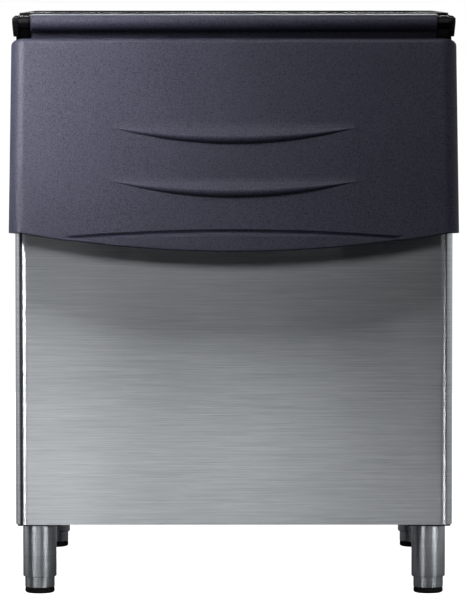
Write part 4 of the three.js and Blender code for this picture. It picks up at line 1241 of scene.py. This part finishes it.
@dataclass
class Legs:
    """Four levelling legs: plate, sleeve with a threaded stud, inner leg and foot pad."""

    palette: Palette
    inset: float = 40.0
    setback: float = 57.0
    plate_edge: float = 0.6
    sleeve_radius: float = 29.5
    sleeve_bore: float = 26.6
    sleeve_cap: float = 3.4
    sleeve_top: float = 120.4
    sleeve_bottom: float = 29.0
    stud_radius: float = 8.0
    stud_height: float = 14.4
    inner_radius: float = 26.0
    inner_wall: float = 3.0
    inner_top: float = 90.3
    inner_floor: float = 12.0
    pad_height: float = 10.0
    pad_radius: float = 26.0
    pad_gap: float = 0.3
    spigot_radius: float = 9.0
    spigot_height: float = 9.0
    tube_columns: int = 96
    pad_columns: int = 72

    def centre(self, leg: str) -> tuple[float, float]:
        """Place of a leg's axis.

        Args:
            leg: The leg's name.

        Returns:
            Its place across and back.
        """
        side = SIDES[leg.split("_")[1]]
        deep = self.setback if leg.startswith("front") else CABINET_DEPTH - self.setback
        return side * (CABINET_HALF - self.inset), deep

    def tube(self, leg: str, name: str, corners: list[Triple], columns: int) -> bpy.types.Object:
        """Turns a rounded profile about a leg's axis."""
        points = turned(rounded(corners), self.centre(leg), columns)
        return Shape().grid(points, around=True).object(name)

    def sleeve(self, leg: str) -> bpy.types.Object:
        """Outer tube, closed above by a cap with a threaded stud.

        Args:
            leg: The leg's name.

        Returns:
            The sleeve.
        """
        top, low, stud_top = self.sleeve_top, self.sleeve_bottom, self.sleeve_top + self.stud_height
        corners = [
            (0.0, top - self.sleeve_cap, 0.0),
            (self.sleeve_bore, top - self.sleeve_cap, 1.0),
            (self.sleeve_bore, low, 0.6),
            (self.sleeve_radius, low, 1.6),
            (self.sleeve_radius, top, 1.0),
            (self.stud_radius, top, 0.0),
            (self.stud_radius, stud_top, 0.8),
            (0.0, stud_top, 0.0),
        ]
        return self.tube(leg, f"tube_{leg}", corners, self.tube_columns)

    def inner(self, leg: str) -> bpy.types.Object:
        """Inner leg that slides in the sleeve, with a socket for the pad's spigot.

        Args:
            leg: The leg's name.

        Returns:
            The inner leg.
        """
        radius, top, low = self.inner_radius, self.inner_top, self.pad_height + self.pad_gap
        socket, socket_top = self.spigot_radius + self.pad_gap, low + self.spigot_height + self.pad_gap
        bore, floor = radius - self.inner_wall, low + self.inner_floor
        corners = [
            (0.0, socket_top, 0.0),
            (socket, socket_top, 0.0),
            (socket, low, 0.0),
            (radius, low, 0.8),
            (radius, top, 0.6),
            (bore, top, 0.6),
            (bore, floor, 0.8),
            (0.0, floor, 0.0),
        ]
        return self.tube(leg, f"inner_leg_{leg}", corners, self.tube_columns)

    def pad(self, leg: str) -> bpy.types.Object:
        """Barrel-sided foot with a spigot up into the inner leg.

        Args:
            leg: The leg's name.

        Returns:
            The pad.
        """
        radius, high, spigot_top = self.pad_radius, self.pad_height, self.pad_height + self.spigot_height
        corners = [
            (0.0, 0.0, 0.0),
            (radius - 3.4, 0.0, 1.0),
            (radius - 0.6, 1.6, 1.0),
            (radius, 4.6, 1.6),
            (radius - 0.8, high, 1.0),
            (self.spigot_radius, high, 0.0),
            (self.spigot_radius, spigot_top, 0.8),
            (0.0, spigot_top, 0.0),
        ]
        return self.tube(leg, f"pad_{leg}", corners, self.pad_columns)

    def build(self) -> None:
        """Makes and dresses all four legs."""
        for leg in LEG_NAMES:
            plate = edged(f"leg_plate_{leg}", f"plate_{leg}", self.plate_edge)
            self.palette.dress(plate, Look.dark_steel, f"leg_plate_{leg}")
            self.palette.dress(self.sleeve(leg), Look.satin_tube, f"leg_sleeve_{leg}")
            self.palette.dress(self.inner(leg), Look.satin_tube, f"foot_tube_{leg}")
            self.palette.dress(self.pad(leg), Look.black_rubber, f"foot_pad_{leg}")


def edged(
    node: str,
    name: str,
    width: float,
    sharp_degrees: float = 30.0,
    flat_degrees: float = 0.4,
    crisp_degrees: float = 40.0,
) -> bpy.types.Object:
    """Copies a solid's shape, merged, and eases its sharp edges with three narrow faces.

    Args:
        node: The solid.
        name: The new piece's name.
        width: Width of the eased edges, in millimetres.
        sharp_degrees: Edges flatter than this aren't eased.
        flat_degrees: Faces closer to one plane than this are merged first.
        crisp_degrees: Edges sharper than this stay crisp.

    Returns:
        The new piece.
    """
    mesh = frame["nodes"][node].data.copy()
    mesh.name = name
    welded(mesh, flat_degrees)
    piece = linked(name, mesh)
    ease = piece.modifiers.new("ease", "BEVEL")
    ease.width = width * MILLIMETRE
    ease.segments = 3
    ease.limit_method = "ANGLE"
    ease.angle_limit = math.radians(sharp_degrees)
    ease.use_clamp_overlap = True
    applied(piece)
    smoothed(piece.data, crisp_degrees)
    return piece


def eased(palette: Palette, widths: dict[str, float]) -> None:
    """Makes and dresses pieces that keep their solids' shapes and get eased edges.

    Args:
        palette: The materials.
        widths: Width of each solid's eased edges, in millimetres.
    """
    for node, width in widths.items():
        palette.dress(edged(node, f"{node}_finished", width), node_look(node), node)


@dataclass
class Casing:
    """Back panel and base pan of folded sheet, with the tub and the rim that they carry."""

    palette: Palette
    sheet_edge: float = 0.4
    tub_edge: float = 1.2
    rim_edge: float = 1.0

    def build(self) -> None:
        """Eases and dresses each piece."""
        sheets = {"back_panel": self.sheet_edge, "base_pan": self.sheet_edge}
        eased(self.palette, sheets | {"liner": self.tub_edge, "top_rim": self.rim_edge})


@dataclass
class Doorway:
    """Collar round the opening, inner skin of the door and ice deflector."""

    palette: Palette
    collar_edge: float = 0.7
    liner_edge: float = 1.0
    sheet_edge: float = 0.4

    def build(self) -> None:
        """Eases and dresses each piece."""
        mouldings = {"door_collar": self.collar_edge, "door_liner": self.liner_edge}
        eased(self.palette, mouldings | {"ice_deflector": self.sheet_edge})


@dataclass
class Drain:
    """Pocket in the tub's floor, flanged tube and nut."""

    palette: Palette
    edge: float = 0.6

    def build(self) -> None:
        """Eases and dresses each piece."""
        eased(self.palette, dict.fromkeys(("drain_seat", "drain_fitting", "drain_nut"), self.edge))


@dataclass
class Fittings:
    """Hinge brackets, door bumpers and thumb screws, one of each on either side."""

    palette: Palette
    bracket_edge: float = 1.0
    bumper_edge: float = 0.8
    screw_edge: float = 0.6

    def build(self) -> None:
        """Eases and dresses each pair."""
        pairs = {
            "hinge_bracket": self.bracket_edge,
            "door_bumper": self.bumper_edge,
            "deflector_screw": self.screw_edge,
        }
        eased(self.palette, {f"{pair}_{side}": width for pair, width in pairs.items() for side in SIDES})


@dataclass
class PlainPieces:
    """Pieces that need no finer shape: foam, strainer, pins, bushes and bracket screws."""

    palette: Palette

    def build(self) -> None:
        """Dresses every solid that no finished piece stands in for."""
        for name, node in frame["nodes"].items():
            if not node.hide_render:
                self.palette.paint(node, node_look(name))
                log.info("dressed %s", name)


# Stage


@dataclass(frozen=True)
class Softbox:
    """One rectangular studio light, aimed at a point."""

    name: str
    location: Triple
    target: Triple
    size: tuple[float, float]
    power: float
    spread_degrees: float = 180.0

    def place(self) -> None:
        """Puts the light in the scene."""
        data = bpy.data.lights.new(self.name, "AREA")
        data.shape = "RECTANGLE"
        data.size, data.size_y = self.size
        data.energy = self.power
        data.spread = math.radians(self.spread_degrees)
        lamp = bpy.data.objects.new(self.name, data)
        bpy.context.scene.collection.objects.link(lamp)
        lamp.location = self.location
        aim = Vector(self.target) - Vector(self.location)
        lamp.rotation_euler = aim.to_track_quat("-Z", "Y").to_euler()


@dataclass(frozen=True)
class Studio:
    """Pale floor, soft lights and the photograph's camera, in metres."""

    focal_pixels: float = 4800.0
    picture_height: float = 600.0
    sensor: float = 36.0
    camera_place: Triple = (-0.0005, -8.698, 1.0633)
    camera_tilt: float = 0.0654
    camera_roll: float = 0.0004
    camera_reach: float = 200.0
    floor_near: float = -7.0
    floor_far: float = 60.0
    floor_side: float = 30.0
    floor_dark: Triple = (0.02, 0.02, 0.02)
    floor_pale: Triple = (0.86, 0.86, 0.86)
    floor_roughness: float = 0.7
    floor_specular: float = 0.1
    mottle_scale: float = 1.5
    mottle_share: float = 0.05
    mottle_shift: float = 0.1
    glow_start: float = 0.5
    glow_full: float = 1.2
    glow_share: float = 0.35
    glow_strength: float = 1.05
    air_colour: Triple = (0.80, 0.85, 0.92)
    air_strength: float = 0.008
    boxes: tuple[Softbox, ...] = (
        Softbox("grid_left_near", (-1.0, -1.1, 1.6), (-0.47, -0.35, 0.97), (0.4, 0.6), 3.8, 46.0),
        Softbox("front_mid_left", (-0.5, -4.9, 2.6), (0.0, -0.3, 0.7), (1.3, 0.9), 7.9),
        Softbox("front_mid_right", (0.3, -4.9, 2.6), (0.0, -0.3, 0.7), (1.3, 0.9), 3.3),
        Softbox("steep_left", (-0.3, -1.3, 3.1), (-0.09, -0.3, 0.7), (0.9, 0.7), 18.5),
        Softbox("steep_right", (0.3, -1.3, 3.1), (0.09, -0.3, 0.7), (0.9, 0.7), 7.0),
        Softbox("left_floor", (-0.6, -1.1, 0.03), (-0.48, -0.4, 0.15), (0.7, 0.4), 0.22, 90.0),
        Softbox("left_front_low", (-1.4, -3.4, 0.7), (0.0, -0.3, 0.7), (1.4, 0.8), 0.6),
        Softbox("left_side", (-2.7, 0.15, 0.9), (0.0, -0.1, 0.6), (1.4, 2.2), 8.5),
        Softbox("right_front", (1.5, -3.2, 1.0), (0.0, -0.3, 0.7), (1.5, 1.8), 3.0),
        Softbox("right_legs", (1.7, -2.1, 0.5), (0.0, -0.32, 0.04), (2.2, 0.2), 0.85, 30.0),
        Softbox("left_legs", (-1.6, -2.4, 0.5), (0.0, -0.32, 0.04), (1.2, 0.2), 0.36, 30.0),
        Softbox("front_floor", (0.1, -0.95, 0.02), (0.1, -0.44, 0.12), (1.5, 0.15), 0.04, 40.0),
        Softbox("roll_rim", (0.0, 0.9, 1.8), (0.0, -0.42, 1.01), (1.8, 0.25), 3.5, 50.0),
        Softbox("overhead", (0.0, 1.6, 3.0), (0.0, 0.0, 0.8), (2.6, 2.0), 2.0),
        Softbox("back_low", (0.3, 3.8, 0.5), (0.0, 0.4, 0.5), (3.0, 0.9), 8.0),
        Softbox("right_wide", (3.0, -0.1, 1.0), (0.3, 0.0, 0.6), (2.6, 2.2), 10.0),
        Softbox("right_rear", (2.6, 2.3, 0.9), (0.2, 0.2, 0.6), (2.8, 2.0), 6.0),
        Softbox("left_rear", (-2.6, 2.3, 0.9), (-0.2, 0.2, 0.6), (2.8, 2.0), 6.0),
    )

    def camera(self) -> None:
        """Makes the camera: level at first, then tilted down and rolled a little."""
        data = bpy.data.cameras.new("photo_camera")
        data.sensor_fit = "AUTO"
        data.sensor_width = self.sensor
        data.lens = self.focal_pixels / self.picture_height * self.sensor
        data.clip_end = self.camera_reach
        eye = bpy.data.objects.new("photo_camera", data)
        bpy.context.scene.collection.objects.link(eye)
        eye.location = self.camera_place
        eye.rotation_euler = (math.pi / 2 - self.camera_tilt, self.camera_roll, 0.0)
        bpy.context.scene.camera = eye

    def floor(self) -> None:
        """Makes the floor: a flat sheet that looks white, yet lights the bin only from behind."""
        x = np.array([-self.floor_side, 0.0, self.floor_side])
        y = np.linspace(self.floor_near, self.floor_far, 3)
        points = np.stack([*np.meshgrid(x, y), np.zeros((3, 3))], axis=-1)
        sheet = Shape().grid(points).object("studio_floor")
        graph = Surface("studio_floor")
        mottle = graph.noise(self.mottle_scale, detail=2.0)
        seen = graph.signal("ShaderNodeLightPath", "Is Camera Ray")
        along = graph.signal("ShaderNodeSeparateXYZ", "Y", {0: graph.place})
        place = along + mottle * self.mottle_shift
        lit = graph.ranged(place, self.glow_start, self.glow_full, 0.0, self.glow_share)
        pale = seen.mixed(mottle, self.mottle_share)
        material = graph.finish(
            Base_Color=graph.blended(pale, self.floor_dark, self.floor_pale),
            Roughness=self.floor_roughness,
            Specular_IOR_Level=self.floor_specular,
            Emission_Color=graph.blended(lit + seen * (1.0 - lit), BLACK, WHITE),
            Emission_Strength=self.glow_strength,
        )
        sheet.data.materials.append(material)

    def air(self) -> None:
        """Lights the scene with a dim even surround, which the camera sees as white."""
        world = bpy.data.worlds.new("studio_air")
        bpy.context.scene.world = world
        world.use_nodes = True
        graph = Graph(world.node_tree)
        dim = graph.tree.nodes["Background"]
        graph.feed(dim.inputs["Color"], (*self.air_colour, 1.0))
        graph.feed(dim.inputs["Strength"], self.air_strength)
        seen = graph.signal("ShaderNodeLightPath", "Is Camera Ray")
        white = graph.signal("ShaderNodeBackground", 0, {"Color": (*WHITE, 1.0)})
        mixed = graph.signal("ShaderNodeMixShader", 0, {0: seen, 1: Signal(graph, dim.outputs[0]), 2: white})
        graph.feed(graph.tree.nodes["World Output"].inputs["Surface"], mixed)

    def build(self) -> None:
        """Sets up the whole stage."""
        bpy.context.scene.view_settings.view_transform = "Standard"
        self.camera()
        self.floor()
        self.air()
        for box in self.boxes:
            box.place()


def main() -> None:
    """Builds the stage and the bin."""
    logging.basicConfig(level=logging.INFO, format="%(message)s")
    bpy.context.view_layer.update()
    Studio().build()
    palette = Palette()
    for assembly in (Wrap, Seal, Door, Legs, Casing, Doorway, Drain, Fittings, PlainPieces):
        assembly(palette).build()
        log.info("%s is built", assembly.__name__)


if __name__ == "__main__":
    main()
